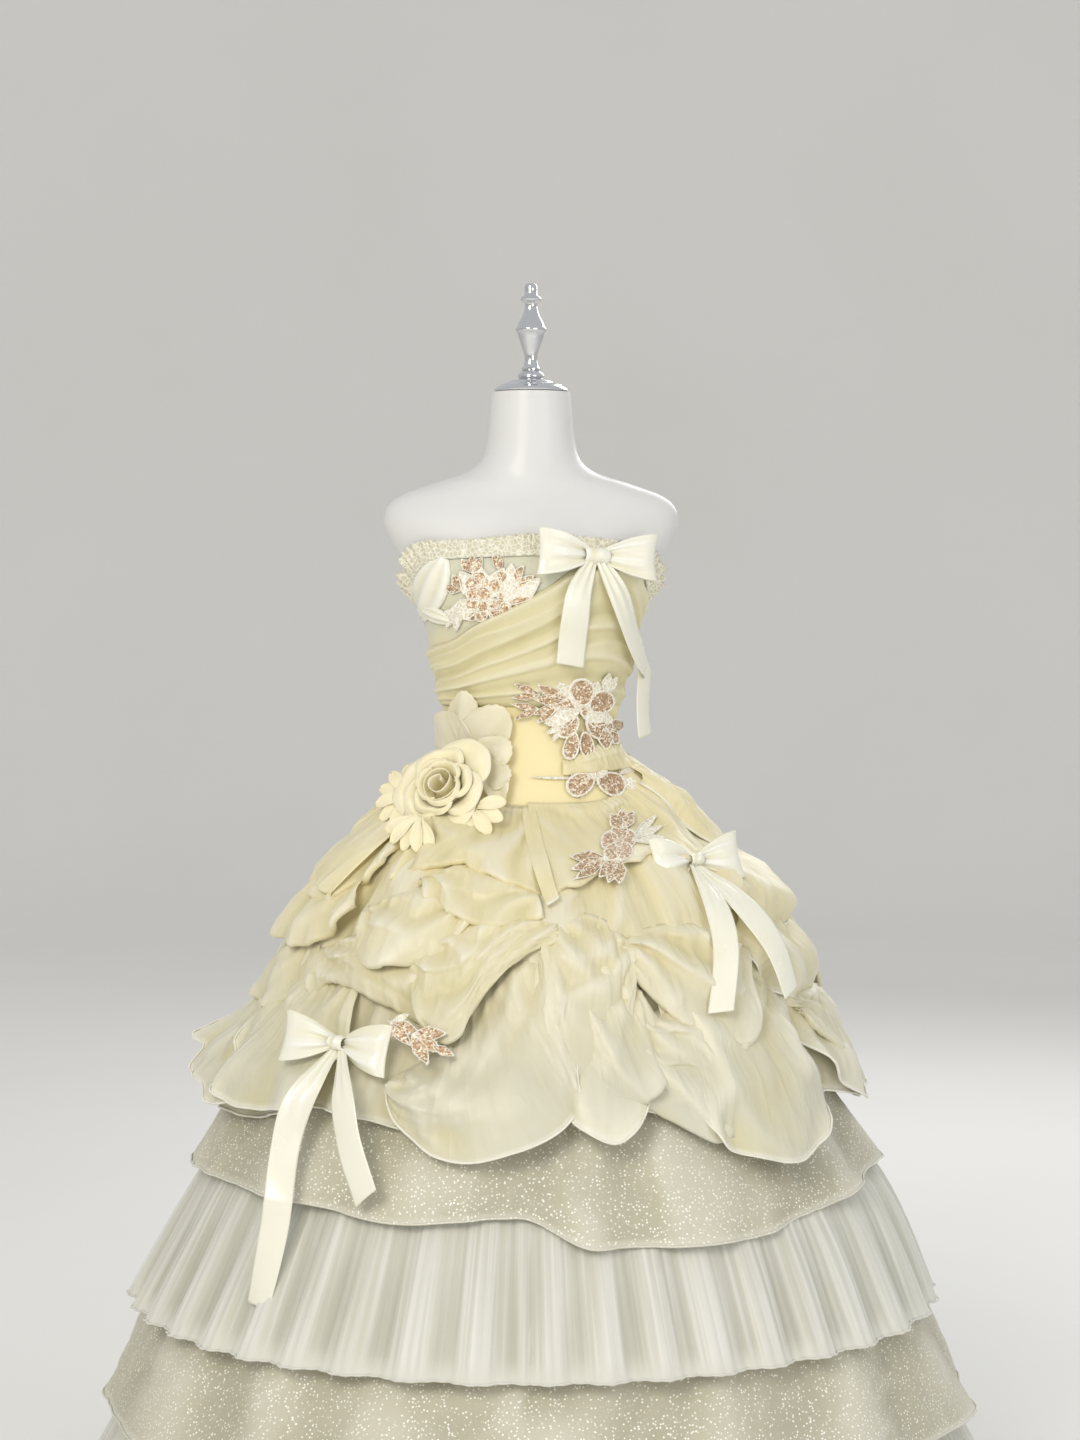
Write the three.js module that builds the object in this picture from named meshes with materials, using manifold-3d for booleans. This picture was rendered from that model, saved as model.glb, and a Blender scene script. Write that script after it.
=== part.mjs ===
// A strapless tiered ball gown worn on a limbless display form.
//
// Millimetres, +Z up. The origin is the middle of the form's base on the floor, and the gown
// faces -Y. Angles go round the vertical axis: 0 is the front, 90 is +X and 180 is the back.
// From the skin out the gown is: boned bodice panels, a chiffon drape, a petticoat that carries
// four tiers (glitter tulle and pleated tulle by turns), and an organza overskirt with lobes.

import * as THREE from "three";
import { mergeVertices } from "three/addons/utils/BufferGeometryUtils.js";
import Module from "manifold-3d";

const wasm = await Module();
wasm.setup();
const { Manifold, Mesh: SolidMesh } = wasm;

// ---------------------------------------------------------------- driving sizes

const GAP = 0.3; // between neighbouring pieces
const CLOTH = 1.5; // wall of tulle, organza and chiffon as built
const SATIN = 1.4; // wall of a satin ribbon
const RING = 36; // columns round the form and the petticoat
const WAIST_Z = 1060;
const HIP_EDGE_Z = 960; // lower edge of the bodice, over the hips
const HEM_Z = 8; // hem of the lowest tier above the floor
const BASE_RADIUS = 150;
const BASE_THICKNESS = 12;
const POLE_RADIUS = 16;
const FORM_BOTTOM_Z = 800;
const NECK_TOP_Z = 1508;

// ---------------------------------------------------------------- small helpers

const TURN = 2 * Math.PI;
const rad = (degrees) => (degrees * Math.PI) / 180;
const deg = (radians) => (radians * 180) / Math.PI;
const mix = (a, b, t) => a + (b - a) * t;
const clamp01 = (t) => Math.min(1, Math.max(0, t));
const ease = (t) => clamp01(t) ** 2 * (3 - 2 * clamp01(t));
const bump = (x, middle, width) => Math.exp(-(((x - middle) / width) ** 2));
const steps = (count) => Array.from({ length: count + 1 }, (_, i) => i / count);
const range = (count) => Array.from({ length: count }, (_, i) => i);

// Reads one named column of a table whose rows rise or fall in the column called key.
function read(table, key, at, column) {
  const rising = table[table.length - 1][key] > table[0][key];
  const rows = rising ? table : [...table].reverse();
  if (at <= rows[0][key]) return rows[0][column];
  for (let i = 1; i < rows.length; i++) {
    if (at <= rows[i][key]) {
      const [low, high] = [rows[i - 1], rows[i]];
      return mix(low[column], high[column], (at - low[key]) / (high[key] - low[key]));
    }
  }
  return rows[rows.length - 1][column];
}

// An angle in degrees between -180 and 180.
function wrapped(angle) {
  return deg(Math.atan2(Math.sin(rad(angle)), Math.cos(rad(angle))));
}

// ---------------------------------------------------------------- solids

// A closed solid from vertices and triangles, turned the right way out.
function solidOf(vertices, triangles) {
  const make = (tris) =>
    new Manifold(
      new SolidMesh({
        numProp: 3,
        vertProperties: new Float32Array(vertices.flatMap((v) => [v.x, v.y, v.z])),
        triVerts: new Uint32Array(tris.flat()),
      }),
    );
  const made = make(triangles);
  return made.volume() > 0 ? made : make(triangles.map(([a, b, c]) => [a, c, b]));
}

// The outward side of a grid of points: cross products of its tangents, all turned one way.
function gridNormals(grid, closed) {
  const last = grid.length - 1;
  const width = grid[0].length;
  const column = (c) => (closed ? (c + width) % width : Math.min(width - 1, Math.max(0, c)));
  const normals = grid.map((row, r) =>
    row.map((_, c) => {
      const down = new THREE.Vector3().subVectors(
        grid[Math.min(last, r + 1)][c],
        grid[Math.max(0, r - 1)][c],
      );
      const across = new THREE.Vector3().subVectors(row[column(c + 1)], row[column(c - 1)]);
      return across.cross(down).normalize();
    }),
  );
  let agreement = 0;
  grid.forEach((row, r) =>
    row.forEach((p, c) => {
      agreement += normals[r][c].x * p.x + normals[r][c].y * p.y;
    }),
  );
  if (agreement < 0) normals.forEach((row) => row.forEach((n) => n.negate()));
  return normals;
}

// A cloth wall whose outer face is the grid. grow makes it that much larger on every side, for
// cutting a neighbour back to the seam gap.
function sheet(grid, thickness, { closed = false, grow = 0 } = {}) {
  const rows = grid.length;
  const cols = grid[0].length;
  const normals = gridNormals(grid, closed);
  const points = grid.map((row) => row.map((p) => p.clone()));
  if (grow > 0) {
    const push = (edge, within) => edge.add(edge.clone().sub(within).setLength(grow));
    for (let c = 0; c < cols; c++) {
      push(points[0][c], grid[1][c]);
      push(points[rows - 1][c], grid[rows - 2][c]);
    }
    if (!closed) {
      for (let r = 0; r < rows; r++) {
        push(points[r][0], grid[r][1]);
        push(points[r][cols - 1], grid[r][cols - 2]);
      }
    }
  }
  const moved = (amount) =>
    points.flatMap((row, r) =>
      row.map((p, c) => p.clone().addScaledVector(normals[r][c], amount)),
    );
  const vertices = [...moved(grow), ...moved(-thickness - grow)];
  const side = rows * cols;
  const outer = (r, c) => r * cols + (c % cols);
  const inner = (r, c) => side + outer(r, c);
  const quad = (a, b, c, d) => [
    [a, b, c],
    [a, c, d],
  ];
  const triangles = [];
  const spans = closed ? cols : cols - 1;
  for (let r = 0; r < rows - 1; r++) {
    for (let c = 0; c < spans; c++) {
      triangles.push(...quad(outer(r, c), outer(r, c + 1), outer(r + 1, c + 1), outer(r + 1, c)));
      triangles.push(...quad(inner(r, c), inner(r + 1, c), inner(r + 1, c + 1), inner(r, c + 1)));
    }
  }
  for (let c = 0; c < spans; c++) {
    triangles.push(...quad(outer(0, c), inner(0, c), inner(0, c + 1), outer(0, c + 1)));
    const end = rows - 1;
    triangles.push(...quad(outer(end, c), outer(end, c + 1), inner(end, c + 1), inner(end, c)));
  }
  if (!closed) {
    for (let r = 0; r < rows - 1; r++) {
      triangles.push(...quad(outer(r, 0), outer(r + 1, 0), inner(r + 1, 0), inner(r, 0)));
      const end = cols - 1;
      triangles.push(...quad(outer(r, end), inner(r, end), inner(r + 1, end), outer(r + 1, end)));
    }
  }
  return solidOf(vertices, triangles);
}

// A solid through closed rings of points, with a flat fan over each end.
function loft(rings) {
  const cols = rings[0].length;
  const vertices = rings.flat();
  const triangles = [];
  for (let r = 0; r < rings.length - 1; r++) {
    for (let c = 0; c < cols; c++) {
      const next = (c + 1) % cols;
      const [a, b] = [r * cols + c, r * cols + next];
      triangles.push([a, b, b + cols], [a, b + cols, a + cols]);
    }
  }
  [0, rings.length - 1].forEach((r) => {
    const centre = rings[r]
      .reduce((sum, p) => sum.add(p), new THREE.Vector3())
      .divideScalar(cols);
    vertices.push(centre);
    const middle = vertices.length - 1;
    for (let c = 0; c < cols; c++) {
      const [a, b] = [r * cols + c, r * cols + ((c + 1) % cols)];
      triangles.push(r === 0 ? [middle, b, a] : [middle, a, b]);
    }
  });
  return solidOf(vertices, triangles);
}

// A turned solid: the profile lists [radius, z] from the bottom up.
function turned(profile, columns) {
  return loft(
    profile.map(([radius, z]) =>
      range(columns).map((c) => {
        const angle = (c / columns) * TURN;
        return new THREE.Vector3(radius * Math.sin(angle), -radius * Math.cos(angle), z);
      }),
    ),
  );
}

const largest = (solid) =>
  solid.decompose().reduce((best, part) => (part.volume() > best.volume() ? part : best));

// ---------------------------------------------------------------- the form's body

// Half width, and depth to the front and to the back, of the form at each height.
const BODY = [
  { z: FORM_BOTTOM_Z, half: 150, front: 104, back: 106 },
  { z: 830, half: 171, front: 118, back: 122 },
  { z: 900, half: 168, front: 112, back: 116 },
  { z: 960, half: 150, front: 100, back: 100 },
  { z: 1010, half: 126, front: 87, back: 85 },
  { z: WAIST_Z, half: 112, front: 82, back: 78 },
  { z: 1165, half: 131, front: 98, back: 91 },
  { z: 1215, half: 143, front: 108, back: 98 },
  { z: 1260, half: 157, front: 107, back: 103 },
  { z: 1300, half: 180, front: 96, back: 103 },
  { z: 1340, half: 196, front: 80, back: 90 },
  { z: 1366, half: 182, front: 67, back: 73 },
  { z: 1386, half: 134, front: 60, back: 64 },
  { z: 1404, half: 82, front: 56, back: 59 },
  { z: 1426, half: 62, front: 54, back: 55 },
  { z: NECK_TOP_Z, half: 52, front: 49, back: 49 },
];
const BUST = { lift: 12, angle: 36, spread: 20, z: 1225, rise: 40 };

const bustLift = (angle, z) =>
  Math.cos(rad(angle)) <= 0
    ? 0
    : BUST.lift * bump(Math.abs(wrapped(angle)), BUST.angle, BUST.spread) * bump(z, BUST.z, BUST.rise);

// A faceted surface round the axis: straight between the rows of its table and between RING
// columns, so that two such surfaces an offset apart never cross.
function facetedSurface(table, lift = () => 0) {
  const corner = (index, row, out) => {
    const angle = (index * TURN) / RING;
    const [s, c] = [Math.sin(angle), Math.cos(angle)];
    const depth = (c > 0 ? row.front : row.back) + lift(deg(angle), row.z);
    const normal = new THREE.Vector3(s / row.half, -c / depth, 0).setLength(out);
    return new THREE.Vector3(row.half * s, -depth * c, row.z).add(out === 0 ? new THREE.Vector3() : normal);
  };
  const rows = [...table].sort((a, b) => a.z - b.z);
  return (angle, z, out = 0) => {
    const along = (angle / 360) * RING;
    const index = Math.floor(along);
    const high = Math.max(1, rows.findIndex((row) => row.z >= z));
    const [below, above] = [rows[high - 1], rows[high]];
    const rise = (z - below.z) / (above.z - below.z);
    const edge = (i) => corner(i, below, out).lerp(corner(i, above, out), rise);
    return edge(index).lerp(edge(index + 1), along - index);
  };
}

const bodyPoint = facetedSurface(BODY, bustLift);

// The angle at which the front half of a surface has this x at this height, by halving.
function angleAtX(surface, x, z) {
  let [low, high] = [-90, 90];
  range(24).forEach(() => {
    const middle = (low + high) / 2;
    if (surface(middle, z).x < x) low = middle;
    else high = middle;
  });
  return (low + high) / 2;
}

function ringGrid(surface, heights, columns, out) {
  return heights.map((z) =>
    range(columns).map((c) => surface((c * 360) / columns, z, out)),
  );
}

// ---------------------------------------------------------------- petticoat and tiers

const PETTICOAT = [
  { z: 966, half: 152.8, front: 103.4, back: 103.2 },
  { z: 925, half: 184, front: 148, back: 152 },
  { z: 860, half: 234, front: 212, back: 216 },
  { z: 760, half: 295, front: 278, back: 282 },
  { z: 640, half: 350, front: 336, back: 340 },
  { z: 420, half: 440, front: 426, back: 430 },
  { z: HEM_Z, half: 590, front: 578, back: 583 },
];
const petticoatPoint = facetedSurface(PETTICOAT);

// How far each tier stands off the petticoat, by height, how deep it folds, and how much further
// it swings out on the right (+X). Every tier is sewn on at its top row.
const SEAT = GAP + CLOTH + 0.4;
const TIER_COLUMNS = 2 * RING;
const TIERS = [
  {
    name: "glitter_tier_upper",
    waves: 10,
    pleated: false,
    rows: [
      { z: 760, out: SEAT, fold: 0, right: 0 },
      { z: 640, out: 12, fold: 2, right: 2 },
      { z: 480, out: 36, fold: 7, right: 15 },
    ],
  },
  {
    name: "pleated_tier_upper",
    waves: 36,
    pleated: true,
    rows: [
      { z: 560, out: SEAT, fold: 0, right: 0 },
      { z: 465, out: 23, fold: 3.5, right: 25 },
      { z: 316, out: 49, fold: 7, right: 6 },
    ],
  },
  {
    name: "glitter_tier_lower",
    waves: 12,
    pleated: false,
    rows: [
      { z: 420, out: SEAT, fold: 0, right: 0 },
      { z: 316, out: 17, fold: 4, right: 20 },
      { z: 178, out: 33, fold: 8, right: 18 },
    ],
  },
  {
    name: "pleated_tier_lower",
    waves: 36,
    pleated: true,
    rows: [
      { z: 250, out: SEAT, fold: 0, right: 0 },
      { z: 160, out: 11, fold: 3, right: 16 },
      { z: HEM_Z, out: 35, fold: 7, right: 16 },
    ],
  },
];

// Hem of the upper glitter tier: long shallow scallops, lowest at the front right.
const UPPER_GLITTER_HEM = [
  { angle: -180, drop: 10 },
  { angle: -130, drop: -12 },
  { angle: -90, drop: -18 },
  { angle: -40, drop: -16 },
  { angle: -22, drop: -4 },
  { angle: -2, drop: -14 },
  { angle: 10, drop: 20 },
  { angle: 34, drop: 22 },
  { angle: 50, drop: 6 },
  { angle: 80, drop: -20 },
  { angle: 130, drop: 12 },
  { angle: 180, drop: 10 },
];

function tierGrid(tier) {
  const last = tier.rows.length - 1;
  return tier.rows.map((row, r) =>
    range(TIER_COLUMNS).map((c) => {
      const angle = (c * 360) / TIER_COLUMNS;
      const soft = Math.sin(tier.waves * rad(angle) + 1.3 * Math.sin(2 * rad(angle)));
      const fold = tier.pleated ? (c % 2 === 0 ? 1 : -1) : soft;
      const swing = row.right * Math.max(0, Math.sin(rad(angle))) ** 2;
      const scalloped = r === last && tier === TIERS[0];
      const drop = scalloped ? read(UPPER_GLITTER_HEM, "angle", wrapped(angle), "drop") : 0;
      return petticoatPoint(angle, row.z - drop, row.out + swing + row.fold * fold);
    }),
  );
}

// ---------------------------------------------------------------- overskirt

const OVERSKIRT_WAIST_Z = 1046; // upper edge at the sides and the back
// Distance from the axis to the organza on the left (-X) and on the right (+X).
const OVERSKIRT = [
  { z: OVERSKIRT_WAIST_Z, left: 120, right: 122 },
  { z: 1020, left: 146, right: 146 },
  { z: 967, left: 186, right: 184 },
  { z: 934, left: 210, right: 212 },
  { z: 900, left: 240, right: 250 },
  { z: 874, left: 260, right: 280 },
  { z: 834, left: 284, right: 310 },
  { z: 794, left: 302, right: 328 },
  { z: 754, left: 316, right: 342 },
  { z: 714, left: 334, right: 358 },
  { z: 674, left: 356, right: 378 },
  { z: 640, left: 384, right: 402 },
  { z: 585, left: 408, right: 422 },
];
// Upper edge: at the waist at the sides and back, dipping to the hip below the front panel.
const OVERSKIRT_TOP = [
  { angle: -180, z: OVERSKIRT_WAIST_Z },
  { angle: -54, z: 1040 },
  { angle: -27, z: 990 },
  { angle: -9, z: 968 },
  { angle: 45, z: 966 },
  { angle: 72, z: 1030 },
  { angle: 90, z: 1044 },
  { angle: 180, z: OVERSKIRT_WAIST_Z },
];
const OVERSKIRT_DEPTH = { waist: 0.78, hem: 0.95 }; // front to back as a share of side to side
const OVERSKIRT_COLUMNS = RING;
const OVERSKIRT_SHARES = [0, 0.12, 0.27, 0.46, 0.72, 1]; // rows, from the upper edge to the hem
const topOfOverskirt = (angle) => read(OVERSKIRT_TOP, "angle", wrapped(angle), "z");
const BODICE_OUT = 2.0; // outer face of the bodice panels over the form
const HUG = { fades: 60, bottom: 945 }; // how far down the organza's upper edge clings

// Where the organza would lie if it were perfectly smooth. It hugs the bodice at its upper edge.
function smoothOverskirt(angle, z) {
  const side = (1 + Math.sin(rad(angle))) / 2;
  const reach = mix(read(OVERSKIRT, "z", z, "left"), read(OVERSKIRT, "z", z, "right"), side);
  const below = topOfOverskirt(angle) - z;
  const free = ease(below / HUG.fades);
  const down = ease((OVERSKIRT_WAIST_Z - z) / 260);
  const depth = mix(OVERSKIRT_DEPTH.waist, OVERSKIRT_DEPTH.hem, down);
  const fold = 6 * ease(below / 160) * Math.sin(9 * rad(angle) + 0.7);
  const radius = reach + fold;
  const skirt = new THREE.Vector3(radius * Math.sin(rad(angle)), -radius * depth * Math.cos(rad(angle)), z);
  const hugging = bodyPoint(angle, Math.max(z, HUG.bottom), BODICE_OUT + CLOTH + GAP + 0.3);
  hugging.z = z;
  return hugging.lerp(skirt, free);
}

const overskirtHem = (angle) => 596 + 16 * Math.sin(7 * rad(angle)) + 8 * Math.sin(3 * rad(angle) + 1);

const overskirtGrid = OVERSKIRT_SHARES.map((share) =>
  range(OVERSKIRT_COLUMNS).map((c) => {
    const angle = (c * 360) / OVERSKIRT_COLUMNS;
    return smoothOverskirt(angle, mix(topOfOverskirt(angle), overskirtHem(angle), share));
  }),
);

// A point on the organza as it is built, flat between the rows and columns of its grid, and
// moved straight out from the axis by out.
function overskirtPoint(angle, z, out = 0) {
  const along = (((angle % 360) + 360) % 360) / (360 / OVERSKIRT_COLUMNS);
  const column = Math.floor(along) % OVERSKIRT_COLUMNS;
  const next = (column + 1) % OVERSKIRT_COLUMNS;
  const line = overskirtGrid.map((row) => row[column].clone().lerp(row[next], along - Math.floor(along)));
  const row = Math.min(line.length - 2, Math.max(0, line.findIndex((p) => p.z < z) - 1));
  const [above, below] = line[line.length - 1].z > z ? line.slice(-2) : line.slice(row, row + 2);
  const point = above.clone().lerp(below, (above.z - z) / (above.z - below.z));
  return point.add(new THREE.Vector3(point.x, point.y, 0).setLength(out));
}

// Organza lobes and picked-up puffs on the overskirt, in the order in which they lie. The hem of
// each is a round scallop that stands off the skirt by lift. A flare over 1 keeps the cloth close
// to the skirt for longer, and then lets it spring out.
const LOBES = [
  { name: "lobe_left_side", angle: -94, spread: 23, top: 752, hem: 638, lift: 62, flare: 2.6 },
  { name: "lobe_back_left", angle: -140, spread: 24, top: 830, hem: 600, lift: 28 },
  { name: "lobe_back", angle: 170, spread: 26, top: 830, hem: 592, lift: 28 },
  { name: "lobe_back_right", angle: 124, spread: 21, top: 830, hem: 602, lift: 26 },
  { name: "lobe_right_side", angle: 83, spread: 20, top: 748, hem: 592, lift: 20 },
  { name: "lobe_front_right", angle: 47, spread: 17, top: 790, hem: 548, lift: 26 },
  { name: "lobe_front_mid", angle: 16, spread: 15, top: 800, hem: 574, lift: 17 },
  { name: "lobe_front_left", angle: -15, spread: 18, top: 830, hem: 548, lift: 32 },
  { name: "lobe_left_flare", angle: -54, spread: 19, top: 770, hem: 596, lift: 40 },
  { name: "ruffle_left_low", angle: -82, spread: 26, top: 818, hem: 716, lift: 28 },
  { name: "ruffle_left_mid", angle: -74, spread: 26, top: 890, hem: 796, lift: 34 },
  { name: "ruffle_left_high", angle: -68, spread: 24, top: 990, hem: 860, lift: 22 },
  { name: "puff_right_low", angle: 76, spread: 25, top: 842, hem: 718, lift: 24 },
  { name: "puff_right_mid", angle: 80, spread: 26, top: 924, hem: 812, lift: 26 },
  { name: "puff_right_high", angle: 94, spread: 28, top: 1030, hem: 892, lift: 22 },
  { name: "puff_back", angle: -160, spread: 44, top: 1010, hem: 804, lift: 26 },
];
const LOBE_GRID = { rows: 4, columns: 5 };

function lobeGrid(lobe) {
  return steps(LOBE_GRID.rows).map((v) =>
    steps(LOBE_GRID.columns).map((t) => {
      const u = 2 * t - 1;
      const gather = mix(0.72, 1, Math.sqrt(v));
      const angle = lobe.angle + lobe.spread * gather * u;
      const bottom = mix(lobe.hem, lobe.top, 0.34 * u ** 4);
      const top = Math.min(lobe.top, topOfOverskirt(angle) - 6);
      const z = mix(top, bottom, v);
      const belly = Math.sin(0.6 * Math.PI * v) ** (lobe.flare ?? 1);
      const fold = 3 * v * Math.cos(3 * Math.PI * u);
      const out = CLOTH + GAP + 0.6 + (lobe.lift * belly + fold) * (1 - 0.4 * u ** 4);
      return overskirtPoint(angle, z, out);
    }),
  );
}

// ---------------------------------------------------------------- bodice

const NECKLINE = [
  { angle: 0, z: 1298 },
  { angle: 45, z: 1292 },
  { angle: 63, z: 1276 },
  { angle: 81, z: 1246 },
  { angle: 99, z: 1222 },
  { angle: 126, z: 1208 },
  { angle: 180, z: 1200 },
];
const neckline = (angle) => read(NECKLINE, "angle", Math.abs(wrapped(angle)), "z");
const BODICE_ROWS = [HIP_EDGE_Z, 1010, WAIST_Z, 1165, 1215, 1260, 1300];
const BODICE_WALL = 1.5;
const OUT_OF_REACH = 420; // beyond every part of the bodice
const SEAM_RADIUS = 110; // distance from the axis to the side and back seams

// A cutter standing on the axis between two angles, up to the height that top gives.
function wedge(from, to, bottom, top, columns) {
  const rim = steps(columns).map((t) => mix(from, to, t));
  const at = (angle, z) =>
    new THREE.Vector3(OUT_OF_REACH * Math.sin(rad(angle)), -OUT_OF_REACH * Math.cos(rad(angle)), z);
  const vertices = [
    new THREE.Vector3(0, 0, bottom),
    new THREE.Vector3(0, 0, top(mix(from, to, 0.5))),
    ...rim.map((angle) => at(angle, bottom)),
    ...rim.map((angle) => at(angle, top(angle))),
  ];
  const count = rim.length;
  const low = (i) => 2 + i;
  const high = (i) => 2 + count + i;
  const triangles = [
    [0, 1, high(0)],
    [0, high(0), low(0)],
    [0, low(count - 1), high(count - 1)],
    [0, high(count - 1), 1],
  ];
  range(count - 1).forEach((i) => {
    triangles.push([0, low(i), low(i + 1)], [1, high(i + 1), high(i)]);
    triangles.push([low(i), high(i), high(i + 1)], [low(i), high(i + 1), low(i + 1)]);
  });
  return solidOf(vertices, triangles);
}

// A panel between two seams: a strip of one wall round the body, cut off along the neckline.
function bodicePanel(from, to, inset) {
  return (grow) => {
    const wall = sheet(ringGrid(bodyPoint, BODICE_ROWS, RING, BODICE_OUT), BODICE_WALL, {
      closed: true,
      grow,
    });
    const width = inset - grow;
    const arc = deg(width / SEAM_RADIUS);
    const cutter = wedge(from + arc, to - arc, HIP_EDGE_Z - 5, (a) => neckline(a) + grow, 12);
    return largest(wall.intersect(cutter));
  };
}

// The chiffon drape crosses the front from the left underbust to the right bust.
const DRAPE_TOP = [
  { angle: -90, z: 1168 },
  { angle: -50, z: 1180 },
  { angle: -30, z: 1202 },
  { angle: -12, z: 1222 },
  { angle: 8, z: 1250 },
  { angle: 24, z: 1278 },
  { angle: 48, z: 1282 },
  { angle: 66, z: 1262 },
  { angle: 90, z: 1226 },
];
const DRAPE_BOTTOM_Z = 1094;
const DRAPE_PLEATS = 7;
const DRAPE_SEAT = BODICE_OUT + GAP + 0.3;

// How far the drape's outer face stands out: seven slanting pleats that fan from the left side.
function drapeFold(angle, share) {
  const slant = share * DRAPE_PLEATS + (0.9 * (angle + 90)) / 180;
  return 2.2 + 1.6 * Math.abs(Math.sin(Math.PI * slant));
}

function drape(grow) {
  const grid = steps(9).map((share) =>
    steps(18).map((t) => {
      const angle = mix(-90, 90, t);
      const z = mix(read(DRAPE_TOP, "angle", angle, "z"), DRAPE_BOTTOM_Z, share);
      return bodyPoint(angle, z, DRAPE_SEAT + drapeFold(angle, share));
    }),
  );
  return sheet(grid, CLOTH, { grow });
}

// Lace frill: a gathered strip that stands up from the upper edge of the bodice all round.
const FRILL = { waves: 18, height: 20, start: 0.7, fold: 2.6, lean: 5 };
function frill(grow) {
  const columns = FRILL.waves * 4;
  const grid = [0, 1].map((share) =>
    range(columns).map((c) => {
      const angle = (c * 360) / columns;
      const wave = FRILL.lean + FRILL.fold * Math.sin((c * Math.PI) / 2 + 0.6);
      const z = neckline(angle) + mix(FRILL.start, FRILL.height, share);
      return bodyPoint(angle, z, BODICE_OUT + 0.2 + share * wave);
    }),
  );
  return sheet(grid, 1.2, { closed: true, grow });
}

// ---------------------------------------------------------------- pieces laid on the front

// A plate with a rounded outline that follows a surface. surface(x, z, out) gives a point on it.
function plate(outline, surface, thickness, grow) {
  const centre = outline
    .reduce((sum, p) => sum.add(p), new THREE.Vector2())
    .divideScalar(outline.length);
  const all = [centre, ...outline.map((p) => p.clone().lerp(centre, -grow / centre.distanceTo(p)))];
  const face = (out) => all.map((p, i) => surface(p.x, p.y, out + (i === 0 ? 0.8 : 0)));
  const vertices = [...face(thickness + grow), ...face(-grow)];
  const side = all.length;
  const triangles = [];
  outline.forEach((_, i) => {
    const [a, b] = [1 + i, 1 + ((i + 1) % outline.length)];
    triangles.push([0, a, b], [side, side + b, side + a]);
    triangles.push([a, side + a, side + b], [a, side + b, b]);
  });
  return solidOf(vertices, triangles);
}

// A star-shaped outline round a centre: the furthest reach of its blades in each direction. A
// blade has an angle, a length and the half angle over which it narrows to nothing.
function bladedOutline(centre, blades, hub, points) {
  return range(points).map((i) => {
    const angle = (i * 360) / points;
    const reach = blades.map((blade) => {
      const off = Math.abs(wrapped(angle - blade.angle)) / blade.half;
      return off >= 1 ? 0 : blade.length * Math.cos((Math.PI / 2) * off ** 1.5);
    });
    const radius = Math.max(hub, ...reach);
    const way = new THREE.Vector2(Math.cos(rad(angle)), Math.sin(rad(angle)));
    return centre.clone().addScaledVector(way, radius);
  });
}

// The skin of the bodice seen from the front, with the drape's mean thickness over it.
const onBodice = (seat) => (x, z, out) => bodyPoint(angleAtX(bodyPoint, x, z), z, seat + out);
const onOverskirt = (seat) => (x, z, out) =>
  overskirtPoint(angleAtX(overskirtPoint, x, z), z, seat + out);

// Embroidered flowers: round petals and long leaves about one centre. over is the height of what
// lies between one and the bodice.
const APPLIQUES = [
  {
    name: "applique_bust",
    over: 0,
    x: -70,
    z: 1238,
    hub: 12,
    petals: { angles: [95, 148, 196, 300], length: 30, half: 26 },
    leaves: { angles: [28, 62, 250], length: 54, half: 15 },
  },
  {
    name: "applique_waist",
    over: DRAPE_SEAT - BODICE_OUT + 3.8,
    x: 62,
    z: 1108,
    hub: 14,
    petals: { angles: [20, 78, 130, 310], length: 36, half: 29 },
    leaves: { angles: [166, 196, 262], length: 76, half: 14 },
  },
  {
    name: "applique_hip",
    over: 0,
    x: 78,
    z: 1010,
    hub: 9,
    petals: { angles: [100, 150, 200, 250, 300], length: 22, half: 24 },
    leaves: { angles: [12, 352], length: 40, half: 14 },
  },
];
const APPLIQUE_SEAT = BODICE_OUT + GAP + 0.9;

function applique(design) {
  const { petals, leaves } = design;
  const blades = [petals, leaves].flatMap(({ angles, length, half }) =>
    angles.map((angle) => ({ angle, length, half })),
  );
  const outline = bladedOutline(new THREE.Vector2(design.x, design.z), blades, design.hub, 40);
  return (grow) => plate(outline, onBodice(APPLIQUE_SEAT + design.over), 1.8, grow);
}

// ---------------------------------------------------------------- bows

// A local frame on the gown: out is the way a piece faces, up and across span its plane.
function frameAt(origin, out, roll) {
  const outward = out.clone().normalize();
  const across = new THREE.Vector3(0, 0, 1).cross(outward).normalize();
  const up = outward.clone().cross(across);
  const turnedAcross = across.clone().applyAxisAngle(outward, rad(roll));
  const turnedUp = up.clone().applyAxisAngle(outward, rad(roll));
  return (x, y, depth) =>
    origin
      .clone()
      .addScaledVector(turnedAcross, x)
      .addScaledVector(turnedUp, y)
      .addScaledVector(outward, depth);
}

// One loop: a ribbon that leaves the knot, folds over at its outer end and comes back behind.
// It is narrow where the knot gathers it and full width at the fold.
function bowLoop(place, side, length, width, start, grow) {
  const path = [
    { reach: start, depth: 9, spread: 0.3 },
    { reach: 0.45, depth: 19, spread: 0.74 },
    { reach: 0.85, depth: 20, spread: 0.98 },
    { reach: 1, depth: 14, spread: 1 },
    { reach: 0.9, depth: 8, spread: 0.98 },
    { reach: 0.5, depth: 4.5, spread: 0.72 },
    { reach: start, depth: 3.4, spread: 0.3 },
  ];
  const grid = path.map((row) =>
    steps(3).map((t) => {
      const u = 2 * t - 1;
      return place(
        side * length * row.reach,
        (width / 2) * row.spread * u,
        row.depth + 2.5 * row.reach * Math.abs(u),
      );
    }),
  );
  return sheet(grid, SATIN, { grow });
}

function bowKnot(place, width, height, grow) {
  const rings = steps(4).map((t) => {
    const x = mix(-width / 2 - grow, width / 2 + grow, t);
    const swell = 0.72 + 0.28 * Math.sin(Math.PI * t);
    return range(7).map((c) => {
      const turn = (c / 7) * TURN;
      return place(
        x,
        (height / 2 + grow) * swell * Math.cos(turn),
        8 + (11 + grow) * swell * Math.sin(turn),
      );
    });
  });
  return loft(rings);
}

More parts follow.
